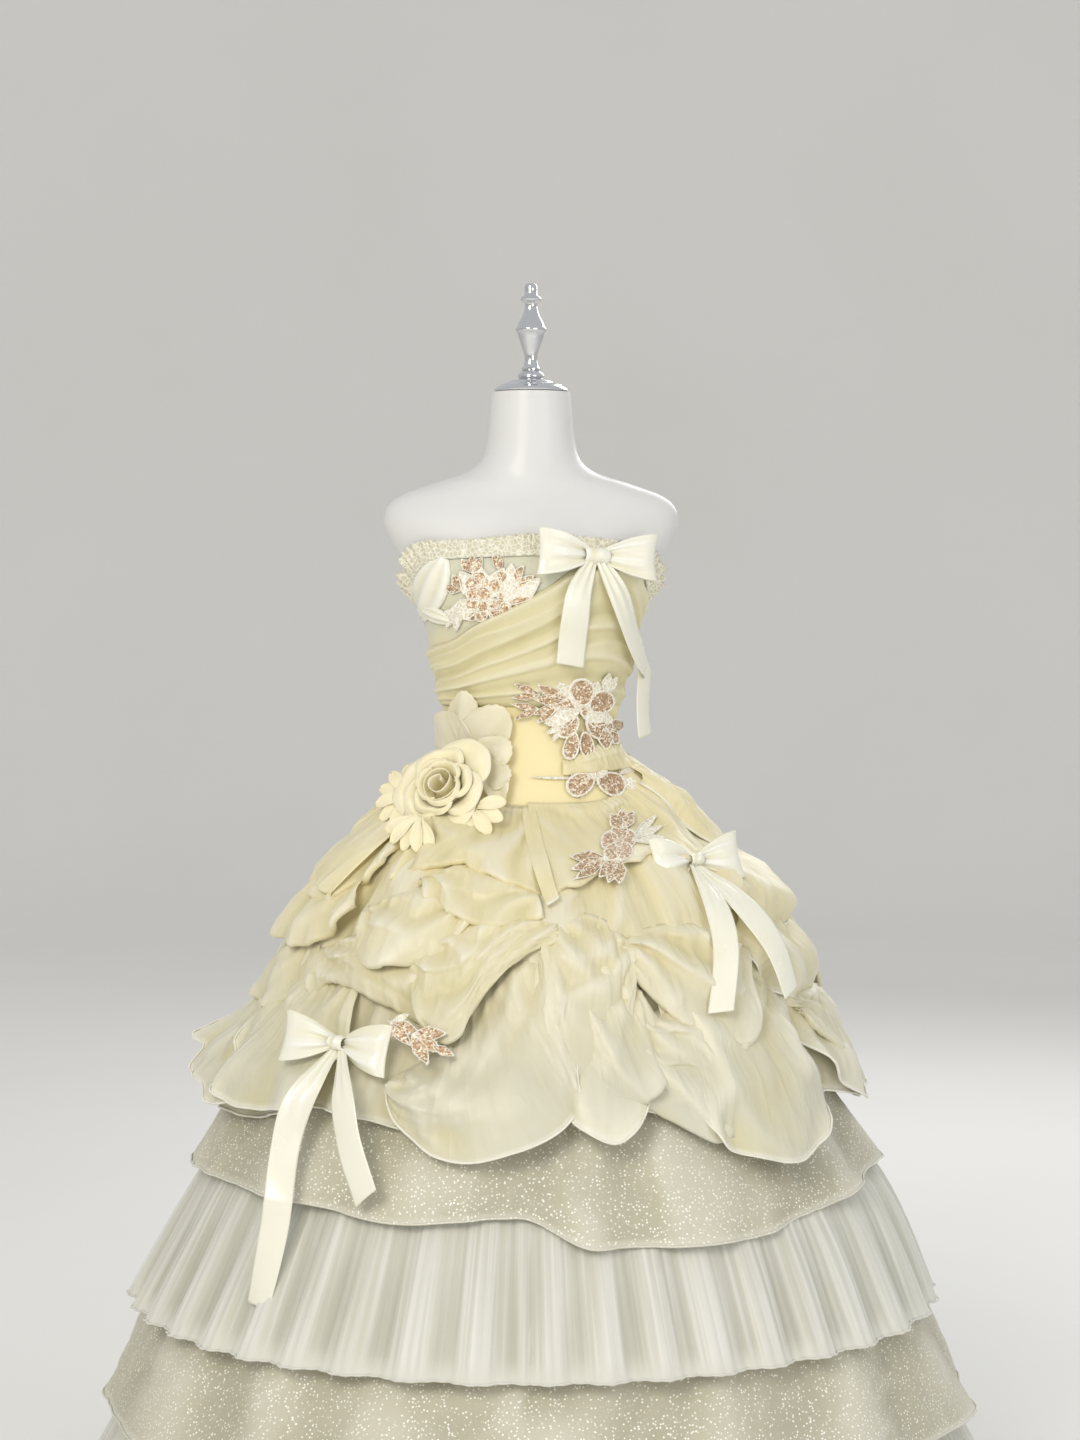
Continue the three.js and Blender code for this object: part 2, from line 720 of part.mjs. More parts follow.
const RIBBON_CROWN = 1.2; // how far the middle of a ribbon bows out beyond its edges

// A tail hangs from the knot along the stations given: x and z in the front view, lift off the
// surface beneath, the ribbon's width there and how far it turns edge-on.
function bowTail(stations, surface, grow) {
  const path = stations.map((s) => surface(s.x, s.z, s.lift));
  const grid = stations.map((s, i) => {
    const ahead = path[Math.min(path.length - 1, i + 1)];
    const run = ahead.clone().sub(path[Math.max(0, i - 1)]).normalize();
    const outward = new THREE.Vector3(path[i].x, path[i].y, 0).normalize();
    const across = run.clone().cross(outward).normalize();
    across.applyAxisAngle(run, rad(s.turn));
    return [-1, 0, 1].map((u) =>
      path[i]
        .clone()
        .addScaledVector(across, (u * s.width) / 2)
        .addScaledVector(outward, (1 - u * u) * RIBBON_CROWN),
    );
  });
  return sheet(grid, SATIN, { grow });
}

const BOWS = [
  {
    name: "bow_bust",
    x: 81,
    z: 1290,
    surface: onBodice(0),
    facing: new THREE.Vector3(0.3, -0.95, 0.06),
    roll: -3,
    loop: { length: 78, width: 60 },
    knot: { width: 34, height: 20 },
    tails: [
      [
        { x: 76, z: 1286, lift: 13, width: 14, turn: 0 },
        { x: 58, z: 1244, lift: 17, width: 34, turn: 0 },
        { x: 52, z: 1200, lift: 15, width: 39, turn: 0 },
        { x: 47, z: 1148, lift: 14, width: 39, turn: 0 },
      ],
      [
        { x: 86, z: 1286, lift: 13, width: 14, turn: 0 },
        { x: 104, z: 1240, lift: 18, width: 32, turn: -6 },
        { x: 119, z: 1180, lift: 20, width: 34, turn: -12 },
        { x: 131, z: 1120, lift: 30, width: 34, turn: -12 },
        { x: 138, z: 1052, lift: 40, width: 34, turn: -10 },
      ],
    ],
  },
  {
    name: "bow_right",
    x: 203,
    z: 897,
    surface: onOverskirt(0),
    facing: new THREE.Vector3(0.5, -0.8, 0.3),
    roll: 2,
    loop: { length: 66, width: 62 },
    knot: { width: 20, height: 17 },
    tails: [
      [
        { x: 201, z: 893, lift: 10, width: 12, turn: 0 },
        { x: 214, z: 850, lift: 26, width: 30, turn: 30 },
        { x: 218, z: 800, lift: 38, width: 32, turn: 50 },
        { x: 211, z: 724, lift: 40, width: 32, turn: 44 },
      ],
      [
        { x: 206, z: 893, lift: 10, width: 12, turn: 0 },
        { x: 240, z: 850, lift: 32, width: 36, turn: 0 },
        { x: 270, z: 800, lift: 44, width: 38, turn: 0 },
        { x: 292, z: 735, lift: 46, width: 38, turn: -10 },
      ],
    ],
  },
  {
    name: "bow_left",
    x: -216,
    z: 685,
    surface: onOverskirt(0),
    facing: new THREE.Vector3(-0.45, -0.86, 0.2),
    roll: -4,
    loop: { length: 74, width: 64 },
    knot: { width: 20, height: 18 },
    tails: [
      [
        { x: -219, z: 681, lift: 34, width: 12, turn: 0 },
        { x: -250, z: 622, lift: 50, width: 36, turn: -34 },
        { x: -270, z: 560, lift: 46, width: 36, turn: -46 },
        { x: -284, z: 470, lift: 26, width: 36, turn: -30 },
        { x: -296, z: 375, lift: 18, width: 38, turn: -14 },
      ],
      [
        { x: -213, z: 681, lift: 34, width: 12, turn: 0 },
        { x: -202, z: 630, lift: 50, width: 36, turn: 8 },
        { x: -196, z: 580, lift: 48, width: 38, turn: 8 },
        { x: -182, z: 515, lift: 36, width: 38, turn: 8 },
      ],
    ],
  },
];

// ---------------------------------------------------------------- rose and sprays

const ROSE = { x: -100, z: 984, lift: 14, facing: new THREE.Vector3(-0.36, -0.8, 0.46) };

// A cupped petal in the rose's own frame: it springs from the heart and curls at its lip.
function rosePetal(place, turn, reach, span, rise, grow) {
  const grid = steps(3).map((v) =>
    steps(4).map((t) => {
      const u = 2 * t - 1;
      const angle = rad(turn + (span / 2) * u * (0.75 + 0.25 * v));
      const out = mix(22, reach, v) * (1 - 0.1 * u * u * v);
      const curl = rise * Math.sin(0.62 * Math.PI * v) + 3;
      return place(out * Math.cos(angle), out * Math.sin(angle), curl);
    }),
  );
  return sheet(grid, CLOTH, { grow });
}

// The heart is one strip rolled up in a spiral.
function roseHeart(place, grow) {
  const turns = 2.4;
  const grid = [0, 1].map((v) =>
    steps(26).map((t) => {
      const angle = t * turns * TURN;
      const radius = mix(5, 27, t) + 1.5 * v;
      return place(radius * Math.cos(angle), radius * Math.sin(angle), mix(2, 40 - 12 * t, v));
    }),
  );
  return sheet(grid, CLOTH, { grow });
}

const ROSE_PETALS = [
  { name: "rose_petal_1", turn: 250, reach: 44, span: 130, rise: 24 },
  { name: "rose_petal_2", turn: 20, reach: 42, span: 116, rise: 24 },
  { name: "rose_petal_3", turn: 135, reach: 44, span: 112, rise: 24 },
  { name: "rose_petal_4", turn: 290, reach: 64, span: 118, rise: 13 },
  { name: "rose_petal_5", turn: 60, reach: 74, span: 104, rise: 13 },
  { name: "rose_petal_6", turn: 180, reach: 72, span: 110, rise: 13 },
];

// A spray: narrow petals fanned out in the rose's plane from one root under its outer petals.
const SPRAYS = [
  { name: "spray_left", at: 192, reach: 50, fan: [-84, -52, -20, 12, 44], length: 52, half: 17 },
  { name: "spray_low", at: 262, reach: 46, fan: [-50, -14, 22], length: 52, half: 22 },
  { name: "spray_right", at: 330, reach: 50, fan: [-44, 0, 44], length: 46, half: 27 },
];

function spray(place, design) {
  const root = new THREE.Vector2(Math.cos(rad(design.at)), Math.sin(rad(design.at)));
  root.multiplyScalar(design.reach);
  const blades = design.fan.map((turn) => ({
    angle: design.at + turn,
    length: design.length,
    half: design.half,
  }));
  const plane = (x, y, out) => place(x, y, 2 - 0.08 * Math.hypot(x - root.x, y - root.y) + out);
  return (grow) => plate(bladedOutline(root, blades, 8, 32), plane, 2, grow);
}

// ---------------------------------------------------------------- the form's hardware

const FINIAL_Z = NECK_TOP_Z + GAP;
// Stepped cap on the neck, as [radius, height above the neck].
const CAP_PROFILE = [
  [48, 0],
  [50, 2],
  [47, 6],
  [42, 9],
  [33, 11],
  [30, 14],
  [20, 17],
];
// Turned finial, as [radius, height above the cap].
const FINIAL_PROFILE = [
  [15, 0],
  [17, 5],
  [12, 10],
  [11, 16],
  [11, 22],
  [8.5, 26],
  [8, 34],
  [15, 46],
  [18.5, 62],
  [20, 66],
  [18.5, 69],
  [12, 80],
  [8.5, 92],
  [8, 100],
  [13, 104],
  [13, 108],
  [8, 112],
  [8, 122],
  [5, 126],
];
const SOCKET_HEIGHT = 26; // of the boss that holds the pole
const BASE_PROFILE = [
  [BASE_RADIUS, 0],
  [BASE_RADIUS, BASE_THICKNESS - 4],
  [BASE_RADIUS - 6, BASE_THICKNESS],
  [32, BASE_THICKNESS + 3],
  [24, BASE_THICKNESS + SOCKET_HEIGHT],
];

const raised = (profile, by) => profile.map(([radius, z]) => [radius, z + by]);

// ---------------------------------------------------------------- assembly

const FINISH = {
  form: { color: "#e9eaec", roughness: 0.42, metalness: 0 },
  chrome: { color: "#d6d8dc", roughness: 0.12, metalness: 1 },
  lining: { color: "#e8e7cf", roughness: 0.62, metalness: 0 },
  chiffon: { color: "#ebe3b4", roughness: 0.7, metalness: 0 },
  lace: { color: "#e6e0c4", roughness: 0.8, metalness: 0 },
  organza: { color: "#ece8cb", roughness: 0.55, metalness: 0 },
  glitter_tulle: { color: "#e2dfd0", roughness: 0.5, metalness: 0 },
  pleated_tulle: { color: "#e9e8e2", roughness: 0.6, metalness: 0 },
  satin: { color: "#f4f1dc", roughness: 0.3, metalness: 0 },
  rose_cloth: { color: "#efe7c2", roughness: 0.65, metalness: 0 },
  embroidery: { color: "#d9c2ad", roughness: 0.6, metalness: 0 },
};

const gown = new THREE.Group();
const placed = [];
const WELD = 1e-3; // corners nearer than this are one
const FLAT = 0.06; // corners that change the form by less than this are dropped

// Adds a piece. build(grow) makes it, and the pieces already placed cut it back to the gap.
function add(name, finish, build) {
  let solid = build(0);
  for (const other of placed) {
    if (solid.intersect(other.keepOut).volume() > 1e-3) {
      solid = largest(solid.subtract(other.keepOut));
    }
  }
  placed.push({ name, keepOut: build(GAP) });
  const mesh = solid.simplify(FLAT).getMesh();
  const geometry = new THREE.BufferGeometry();
  geometry.setAttribute("position", new THREE.BufferAttribute(mesh.vertProperties, 3));
  geometry.setIndex(new THREE.BufferAttribute(mesh.triVerts, 1));
  const material = new THREE.MeshStandardMaterial(FINISH[finish]);
  const node = new THREE.Mesh(mergeVertices(geometry, WELD), material);
  node.name = name;
  gown.add(node);
}

// The lift at which a piece, brought in from far out, has just sunk into what is there already.
function restingLift(buildAt, farthest = 60, sunk = 25) {
  const sinks = (solid) => placed.some(({ keepOut }) => keepOut.intersect(solid).volume() > sunk);
  let [low, high] = [-10, farthest];
  range(10).forEach(() => {
    const middle = (low + high) / 2;
    if (sinks(buildAt(middle))) low = middle;
    else high = middle;
  });
  return low;
}

function addForm() {
  add("form_base", "chrome", (grow) =>
    turned(BASE_PROFILE.map(([r, z], i) => [r + grow, i === 0 ? z - grow : z + grow]), 24),
  );
  const poleTop = FORM_BOTTOM_Z - GAP;
  const poleFoot = BASE_THICKNESS + SOCKET_HEIGHT + GAP;
  add("form_pole", "chrome", (grow) =>
    turned(
      [
        [POLE_RADIUS + grow, poleFoot - grow],
        [POLE_RADIUS + grow, poleTop + grow],
      ],
      12,
    ),
  );
  const heights = BODY.map((row) => row.z);
  add("form_torso", "form", (grow) => loft(ringGrid(bodyPoint, heights, RING, grow)));
  add("neck_cap", "chrome", (grow) =>
    turned(raised(CAP_PROFILE, FINIAL_Z).map(([r, z], i) => [r + grow, i === 0 ? z - grow : z + grow]), 20),
  );
  const finialFoot = FINIAL_Z + CAP_PROFILE[CAP_PROFILE.length - 1][1] + GAP;
  add("finial", "chrome", (grow) =>
    turned(raised(FINIAL_PROFILE, finialFoot).map(([r, z]) => [r + grow, z]), 12),
  );
}

function addBodice() {
  add("bodice_front", "lining", bodicePanel(-88, 88, GAP / 2));
  add("bodice_back_left", "lining", bodicePanel(-180, -88, GAP / 2));
  add("bodice_back_right", "lining", bodicePanel(88, 180, GAP / 2));
}

function addSkirt() {
  const petticoatHeights = PETTICOAT.map((row) => row.z);
  add("petticoat", "pleated_tulle", (grow) =>
    sheet(ringGrid(petticoatPoint, petticoatHeights, RING, 0), CLOTH, { closed: true, grow }),
  );
  TIERS.forEach((tier) => {
    const finish = tier.pleated ? "pleated_tulle" : "glitter_tulle";
    add(tier.name, finish, (grow) => sheet(tierGrid(tier), CLOTH, { closed: true, grow }));
  });
  add("overskirt", "organza", (grow) => sheet(overskirtGrid, CLOTH, { closed: true, grow }));
  LOBES.forEach((lobe) => {
    add(lobe.name, "organza", (grow) => sheet(lobeGrid(lobe), CLOTH, { grow }));
  });
}

function addTrim() {
  add("bodice_drape", "chiffon", drape);
  add("neck_frill", "lace", frill);
  APPLIQUES.forEach((design) => add(design.name, "embroidery", applique(design)));
  const roseFrame = frameAt(onOverskirt(ROSE.lift)(ROSE.x, ROSE.z, 0), ROSE.facing, 0);
  SPRAYS.forEach((design) => add(design.name, "rose_cloth", spray(roseFrame, design)));
  add("rose_heart", "rose_cloth", (grow) => roseHeart(roseFrame, grow));
  ROSE_PETALS.forEach((petal) => {
    add(petal.name, "rose_cloth", (grow) =>
      rosePetal(roseFrame, petal.turn, petal.reach, petal.span, petal.rise, grow),
    );
  });
  BOWS.forEach((bow) => {
    const frameOff = (lift) => frameAt(bow.surface(bow.x, bow.z, lift), bow.facing, bow.roll);
    const knot = (frame, grow) => bowKnot(frame, bow.knot.width, bow.knot.height, grow);
    const frame = frameOff(restingLift((lift) => knot(frameOff(lift), 0)));
    const start = (bow.knot.width / 2 + 2 * GAP) / bow.loop.length;
    add(`${bow.name}_knot`, "satin", (grow) => knot(frame, grow));
    [-1, 1].forEach((side) => {
      add(`${bow.name}_loop_${side < 0 ? "left" : "right"}`, "satin", (grow) =>
        bowLoop(frame, side, bow.loop.length, bow.loop.width, start, grow),
      );
    });
    bow.tails.forEach((stations, i) => {
      add(`${bow.name}_tail_${i + 1}`, "satin", (grow) => bowTail(stations, bow.surface, grow));
    });
  });
}

addForm();
addBodice();
addSkirt();
addTrim();

export default gown;
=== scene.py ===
"""Looks of a strapless tiered ball gown on a limbless display form.

Lengths in the tables are millimetres and turn into metres when a mesh is made. The gown faces -Y.
Angles go round the vertical axis in degrees: 0 is the front, 90 is +X and 180 is the back.
"""

import logging
import math
from dataclasses import dataclass, replace
from enum import Enum
from typing import Callable, Sequence

import bmesh
import bpy
import numpy as np
from mathutils import Matrix, Vector

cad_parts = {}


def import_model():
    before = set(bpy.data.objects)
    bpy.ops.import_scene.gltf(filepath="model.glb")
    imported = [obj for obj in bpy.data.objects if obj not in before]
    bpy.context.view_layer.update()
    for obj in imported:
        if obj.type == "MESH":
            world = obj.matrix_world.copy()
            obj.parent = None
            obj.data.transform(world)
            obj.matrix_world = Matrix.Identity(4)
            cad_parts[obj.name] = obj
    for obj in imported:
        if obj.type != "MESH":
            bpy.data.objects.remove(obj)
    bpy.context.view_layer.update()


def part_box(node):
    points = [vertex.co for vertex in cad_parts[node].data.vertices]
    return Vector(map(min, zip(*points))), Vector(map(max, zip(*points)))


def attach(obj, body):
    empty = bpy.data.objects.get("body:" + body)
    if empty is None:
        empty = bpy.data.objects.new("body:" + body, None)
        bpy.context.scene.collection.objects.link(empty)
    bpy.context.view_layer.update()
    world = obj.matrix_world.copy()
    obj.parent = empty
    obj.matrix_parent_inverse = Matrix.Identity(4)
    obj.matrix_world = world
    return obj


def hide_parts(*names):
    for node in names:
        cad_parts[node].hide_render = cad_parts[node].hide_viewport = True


Array = np.ndarray
Table = Sequence[tuple[float, ...]]
Surface = Callable[[Array, Array, Array], Array]
Tree = bpy.types.NodeTree
Socket = bpy.types.NodeSocket

MM = 0.001
TAU = 2 * math.pi
ROOT = "root"
log = logging.getLogger("gown")


class Held(Enum):
    """How a sheet of cloth keeps its shape."""

    HUNG = "hung"
    GATHERED = "gathered"
    DRAPED = "draped"
    FOLDED = "folded"
    STRETCHED = "stretched"


# ---------------------------------------------------------------- curves and surfaces


def ease(t: Array) -> Array:
    """Rises smoothly from 0 to 1 as t does."""
    t = np.clip(t, 0.0, 1.0)
    return t * t * (3 - 2 * t)


def mix(a: Array, b: Array, t: Array) -> Array:
    """The value a share t of the way from a to b."""
    return a + (b - a) * t


def unit(vectors: Array) -> Array:
    """The vectors at length 1."""
    return vectors / np.maximum(np.linalg.norm(vectors, axis=-1, keepdims=True), 1e-9)


def cubic(xs: Array, ys: Array, x: Array, steady: bool = True) -> Array:
    """A smooth curve through the points of a table.

    Args:
        xs: Rising positions.
        ys: Values at them.
        x: Where to read the curve.
        steady: Whether the curve never overshoots its points.

    Returns:
        The values at x.
    """
    xs, ys = np.asarray(xs, float), np.asarray(ys, float)
    step = np.diff(xs)
    slope = np.diff(ys) / step
    tangent = np.empty_like(ys)
    tangent[0], tangent[-1] = slope[0], slope[-1]
    before, after = slope[:-1], slope[1:]
    if steady:
        product = before * after
        tangent[1:-1] = np.where(product > 0, 2 * product / np.where(product > 0, before + after, 1), 0)
    else:
        tangent[1:-1] = (ys[2:] - ys[:-2]) / (xs[2:] - xs[:-2])
    x = np.clip(x, xs[0], xs[-1])
    i = np.clip(np.searchsorted(xs, x) - 1, 0, len(step) - 1)
    t = (x - xs[i]) / step[i]
    lead = (1 + 2 * t) * (1 - t) ** 2 * ys[i] + t * (1 - t) ** 2 * step[i] * tangent[i]
    return lead + t * t * (3 - 2 * t) * ys[i + 1] + t * t * (t - 1) * step[i] * tangent[i + 1]


def column(table: Table, place: int, at: Array) -> Array:
    """Reads one column of a table by its first column, as a steady curve."""
    rows = sorted(table)
    return cubic([r[0] for r in rows], [r[place] for r in rows], at)


def spline(points: Table, t: Array, weights: Sequence[float] = (1, 1, 1)) -> Array:
    """Points a share t of the way along a smooth line.

    Args:
        points: The line's points.
        t: Shares of its length, from 0 to 1.
        weights: What one unit of each coordinate counts for in the line's length.

    Returns:
        One point for each t.
    """
    points = np.asarray(points, float)
    chords = np.linalg.norm(np.diff(points, axis=0) * np.asarray(weights)[: points.shape[1]], axis=1)
    along = np.concatenate([[0.0], np.cumsum(chords)])
    along /= along[-1]
    return np.stack([cubic(along, points[:, k], t, False) for k in range(points.shape[1])], axis=1)


def drift(s: Array, t: Array, seed: int) -> Array:
    """Smooth uneven values between -1 and 1 that change over about one unit of s and t."""
    lattice = np.random.default_rng(seed).uniform(-1, 1, (64, 64))
    i, j = np.floor(s).astype(int), np.floor(t).astype(int)
    a, b = ease(s - i), ease(t - j)
    low = mix(lattice[i % 64, j % 64], lattice[(i + 1) % 64, j % 64], a)
    high = mix(lattice[i % 64, (j + 1) % 64], lattice[(i + 1) % 64, (j + 1) % 64], a)
    return mix(low, high, b)


def crumple(s: Array, t: Array, seed: int) -> Array:
    """Sharp uneven ridges between soft hollows, from about -1 to 1, as crushed organza has."""
    bent_s = s + 0.8 * drift(s * 0.55, t * 0.55, seed)
    bent_t = t + 0.8 * drift(s * 0.55 + 9, t * 0.55, seed + 1)
    total = np.zeros(np.broadcast(s, t).shape)
    for i, (scale, share) in enumerate(((1.0, 0.62), (2.1, 0.26), (4.4, 0.12))):
        total = total + share * (1 - 2.4 * np.abs(drift(bent_s * scale, bent_t * scale, seed + 2 + i)))
    return total


def wrapped(angle: Array) -> Array:
    """An angle in degrees between -180 and 180."""
    return (np.asarray(angle) + 180) % 360 - 180


def oval(half: Array, depth: Array, angle: Array, z: Array, out: Array) -> Array:
    """Points on a level oval round the axis, moved straight off it by out."""
    s, c = np.sin(np.radians(angle)), np.cos(np.radians(angle))
    across, along = s / half, -c / depth
    size = np.hypot(across, along)
    x, y = half * s + across / size * out, -depth * c + along / size * out
    return np.stack(np.broadcast_arrays(x, y, np.asarray(z, float)), axis=-1)


# The form's half width, and its depth to the front and the back, at each height.
BODY: Table = (
    (800, 150, 104, 106),
    (830, 171, 118, 122),
    (900, 168, 112, 116),
    (960, 150, 100, 100),
    (1010, 126, 87, 85),
    (1060, 112, 82, 78),
    (1165, 131, 98, 91),
    (1215, 143, 108, 98),
    (1260, 157, 107, 103),
    (1300, 180, 96, 103),
    (1340, 196, 80, 90),
    (1366, 182, 67, 73),
    (1386, 134, 60, 64),
    (1404, 82, 56, 59),
    (1426, 62, 54, 55),
    (1508, 52, 49, 49),
)
BUST_LIFT, BUST_ANGLE, BUST_SPREAD, BUST_Z, BUST_RISE = 12, 36, 20, 1225, 40


def with_bust(half: Array, front: Array, back: Array, angle: Array, z: Array, out: Array) -> Array:
    """Points on the form, given its sizes at their heights."""
    cosine = np.cos(np.radians(angle))
    side = np.exp(-(((np.abs(wrapped(angle)) - BUST_ANGLE) / BUST_SPREAD) ** 2))
    lift = BUST_LIFT * side * np.exp(-(((z - BUST_Z) / BUST_RISE) ** 2))
    return oval(half, np.where(cosine > 0, front + lift, back), angle, z, out)


def body_point(angle: Array, z: Array, out: Array) -> Array:
    """Points on the form's skin below its shoulders, moved off it by out."""
    return with_bust(column(BODY, 1, z), column(BODY, 2, z), column(BODY, 3, z), angle, z, out)


PETTICOAT: Table = (
    (966, 152.8, 103.4, 103.2),
    (925, 184, 148, 152),
    (860, 234, 212, 216),
    (760, 295, 278, 282),
    (640, 350, 336, 340),
    (420, 440, 426, 430),
    (8, 590, 578, 583),
)


def petticoat_point(angle: Array, z: Array, out: Array) -> Array:
    """Points on the net petticoat, moved off it by out."""
    front = np.cos(np.radians(angle)) > 0
    depth = np.where(front, column(PETTICOAT, 2, z), column(PETTICOAT, 3, z))
    return oval(column(PETTICOAT, 1, z), depth, angle, z, out)


# Distance from the axis to the organza on the left and on the right, by height.
OVERSKIRT: Table = (
    (1046, 120, 122),
    (1020, 146, 146),
    (967, 186, 184),
    (934, 210, 212),
    (900, 240, 250),
    (874, 260, 280),
    (834, 284, 310),
    (794, 302, 328),
    (754, 316, 342),
    (714, 334, 358),
    (674, 356, 378),
    (640, 384, 402),
    (585, 408, 422),
    (500, 445, 453),
)
# Height of its upper edge, by angle.
OVERSKIRT_TOP: Table = (
    (-180, 1046),
    (-54, 1040),
    (-27, 990),
    (-9, 968),
    (45, 966),
    (72, 1030),
    (90, 1044),
    (180, 1046),
)
# How far the bodice and the organza lie off the form.
BODICE_OUT = 2.0
ORGANZA_SEAT = 3.8
# Where the organza begins at the back, and the lowest height at which it still follows the waist.
ORGANZA_CROWN = 1046
WAIST_LOWEST = 945.0


def skirt_top(angle: Array) -> Array:
    """Height of the overskirt's upper edge."""
    return column(OVERSKIRT_TOP, 1, wrapped(angle))


def skirt_point(angle: Array, z: Array, out: Array) -> Array:
    """Points on the organza, or on the bodice above it, moved straight out from the axis by out."""
    turn = np.radians(angle)
    side = (1 + np.sin(turn)) / 2
    below = skirt_top(angle) - z
    depth = mix(0.78, 0.95, ease((ORGANZA_CROWN - z) / 260))
    radius = mix(column(OVERSKIRT, 1, z), column(OVERSKIRT, 2, z), side)
    radius = radius + 6 * ease(below / 160) * np.sin(9 * turn + 0.7)
    bell = np.stack(np.broadcast_arrays(radius * np.sin(turn), -radius * depth * np.cos(turn)), axis=-1)
    hugging = body_point(angle, np.maximum(z, WAIST_LOWEST), ORGANZA_SEAT)[..., :2]
    flat = mix(hugging, bell, ease(below / 60)[..., None])
    flat = flat + unit(flat) * np.asarray(out)[..., None]
    return np.concatenate(
        [flat, np.broadcast_to(np.asarray(z, float)[..., None], flat[..., :1].shape)], axis=-1
    )


def front_point(x: Array, z: Array, out: Array, surface: Surface = skirt_point) -> Array:
    """Points on the front of a surface, given by their x and their height."""
    x, z, out = (np.asarray(a, float) for a in np.broadcast_arrays(x, z, out))
    low, high = np.full(x.shape, -90.0), np.full(x.shape, 90.0)
    for _ in range(22):
        middle = (low + high) / 2
        left = surface(middle, z, np.zeros_like(z))[..., 0] < x
        low, high = np.where(left, middle, low), np.where(left, high, middle)
    return surface((low + high) / 2, z, out)


def along_line(foot: Sequence[float], tip: Sequence[float]) -> tuple[Array, Array, Array]:
    """A petal's foot, its run to its tip, and the direction across it."""
    foot_at, tip_at = np.array(foot, float), np.array(tip, float)
    run = tip_at - foot_at
    return foot_at, run, np.array([run[1], -run[0]]) / np.hypot(*run)


# ---------------------------------------------------------------- folds


@dataclass(frozen=True)
class Crease:
    """A soft ridge, or a trough where height is below 0, along a line over a sheet.

    The line's points are shares across and down the sheet. A lean above 0 makes the ridge steeper
    on its right hand side, and a lean below 0 on its left.
    """

    path: Table
    height: float
    width: float
    lean: float = 0.0
    fade: tuple[float, float] = (0.3, 0.3)

    def relief(self, u: Array, v: Array, across: float, down: float) -> Array:
        """How far it lifts the sheet at each point.

        Args:
            u: Shares across the sheet.
            v: Shares down it.
            across: The sheet's width in millimetres.
            down: Its length in millimetres.

        Returns:
            Heights in millimetres.
        """
        line = spline(self.path, np.linspace(0, 1, 13), (across, down)) * (across, down)
        s, t = u * across, v * down
        nearest, side, share = np.full(u.shape, 1e9), np.zeros(u.shape), np.zeros(u.shape)
        for i, (a, b) in enumerate(zip(line[:-1], line[1:])):
            run = b - a
            part = np.clip(((s - a[0]) * run[0] + (t - a[1]) * run[1]) / (run @ run), 0, 1)
            ds, dt = s - a[0] - part * run[0], t - a[1] - part * run[1]
            away = np.hypot(ds, dt)
            closer = away < nearest
            nearest = np.where(closer, away, nearest)
            side = np.where(closer, np.sign(run[0] * dt - run[1] * ds), side)
            share = np.where(closer, (i + part) / (len(line) - 1), share)
        width = self.width * (1 - self.lean * side)
        ends = ease(share / max(self.fade[0], 1e-3)) * ease((1 - share) / max(self.fade[1], 1e-3))
        return self.height * np.exp(-((nearest / width) ** 1.7)) * ends


def scattered(seed: int, count: int, height: float, width: float, slant: float = 0.3) -> tuple[Crease, ...]:
    """Uneven creases over a sheet, for the sides that hang out of sight.

    Args:
        seed: Which set.
        count: How many.
        height: The tallest, in millimetres.
        width: The usual width, in millimetres.
        slant: How far they run sideways, as a share of the sheet's width.

    Returns:
        The creases.
    """
    rng = np.random.default_rng(seed)
    made = []
    for i in range(count):
        u, v = (i + rng.uniform(0.2, 0.8)) / count, rng.uniform(0.05, 0.45)
        length, lean = rng.uniform(0.3, 0.55), rng.uniform(-slant, slant)
        path = ((u, v), (u + lean * 0.6, v + length / 2), (u + lean, v + length))
        sign = 1 if i % 3 else -0.7
        made.append(
            Crease(path, sign * height * rng.uniform(0.5, 1), width * rng.uniform(0.7, 1.3),
            rng.uniform(-0.5, 0.5))
        )
    return tuple(made)


# ---------------------------------------------------------------- materials


def colour(code: str) -> tuple[float, float, float, float]:
    """An sRGB hex colour as linear light."""
    parts = [int(code[i : i + 2], 16) / 255 for i in (1, 3, 5)]
    return (*(p / 12.92 if p <= 0.04045 else ((p + 0.055) / 1.055) ** 2.4 for p in parts), 1.0)


def add_node(
    tree: Tree, kind: str, inputs: dict | None = None, **settings: object
) -> bpy.types.Node:
    """Adds a node to a material.

    Args:
        tree: The material's nodes.
        kind: The node's type.
        inputs: What its sockets hold, by name or number: an output socket to link, or a value.
        settings: The node's own settings.

    Returns:
        The node.
    """
    made = tree.nodes.new(kind)
    for key, value in settings.items():
        setattr(made, key, value)
    for key, value in (inputs or {}).items():
        if isinstance(value, Socket):
            tree.links.new(value, made.inputs[key])
        else:
            made.inputs[key].default_value = value
    return made


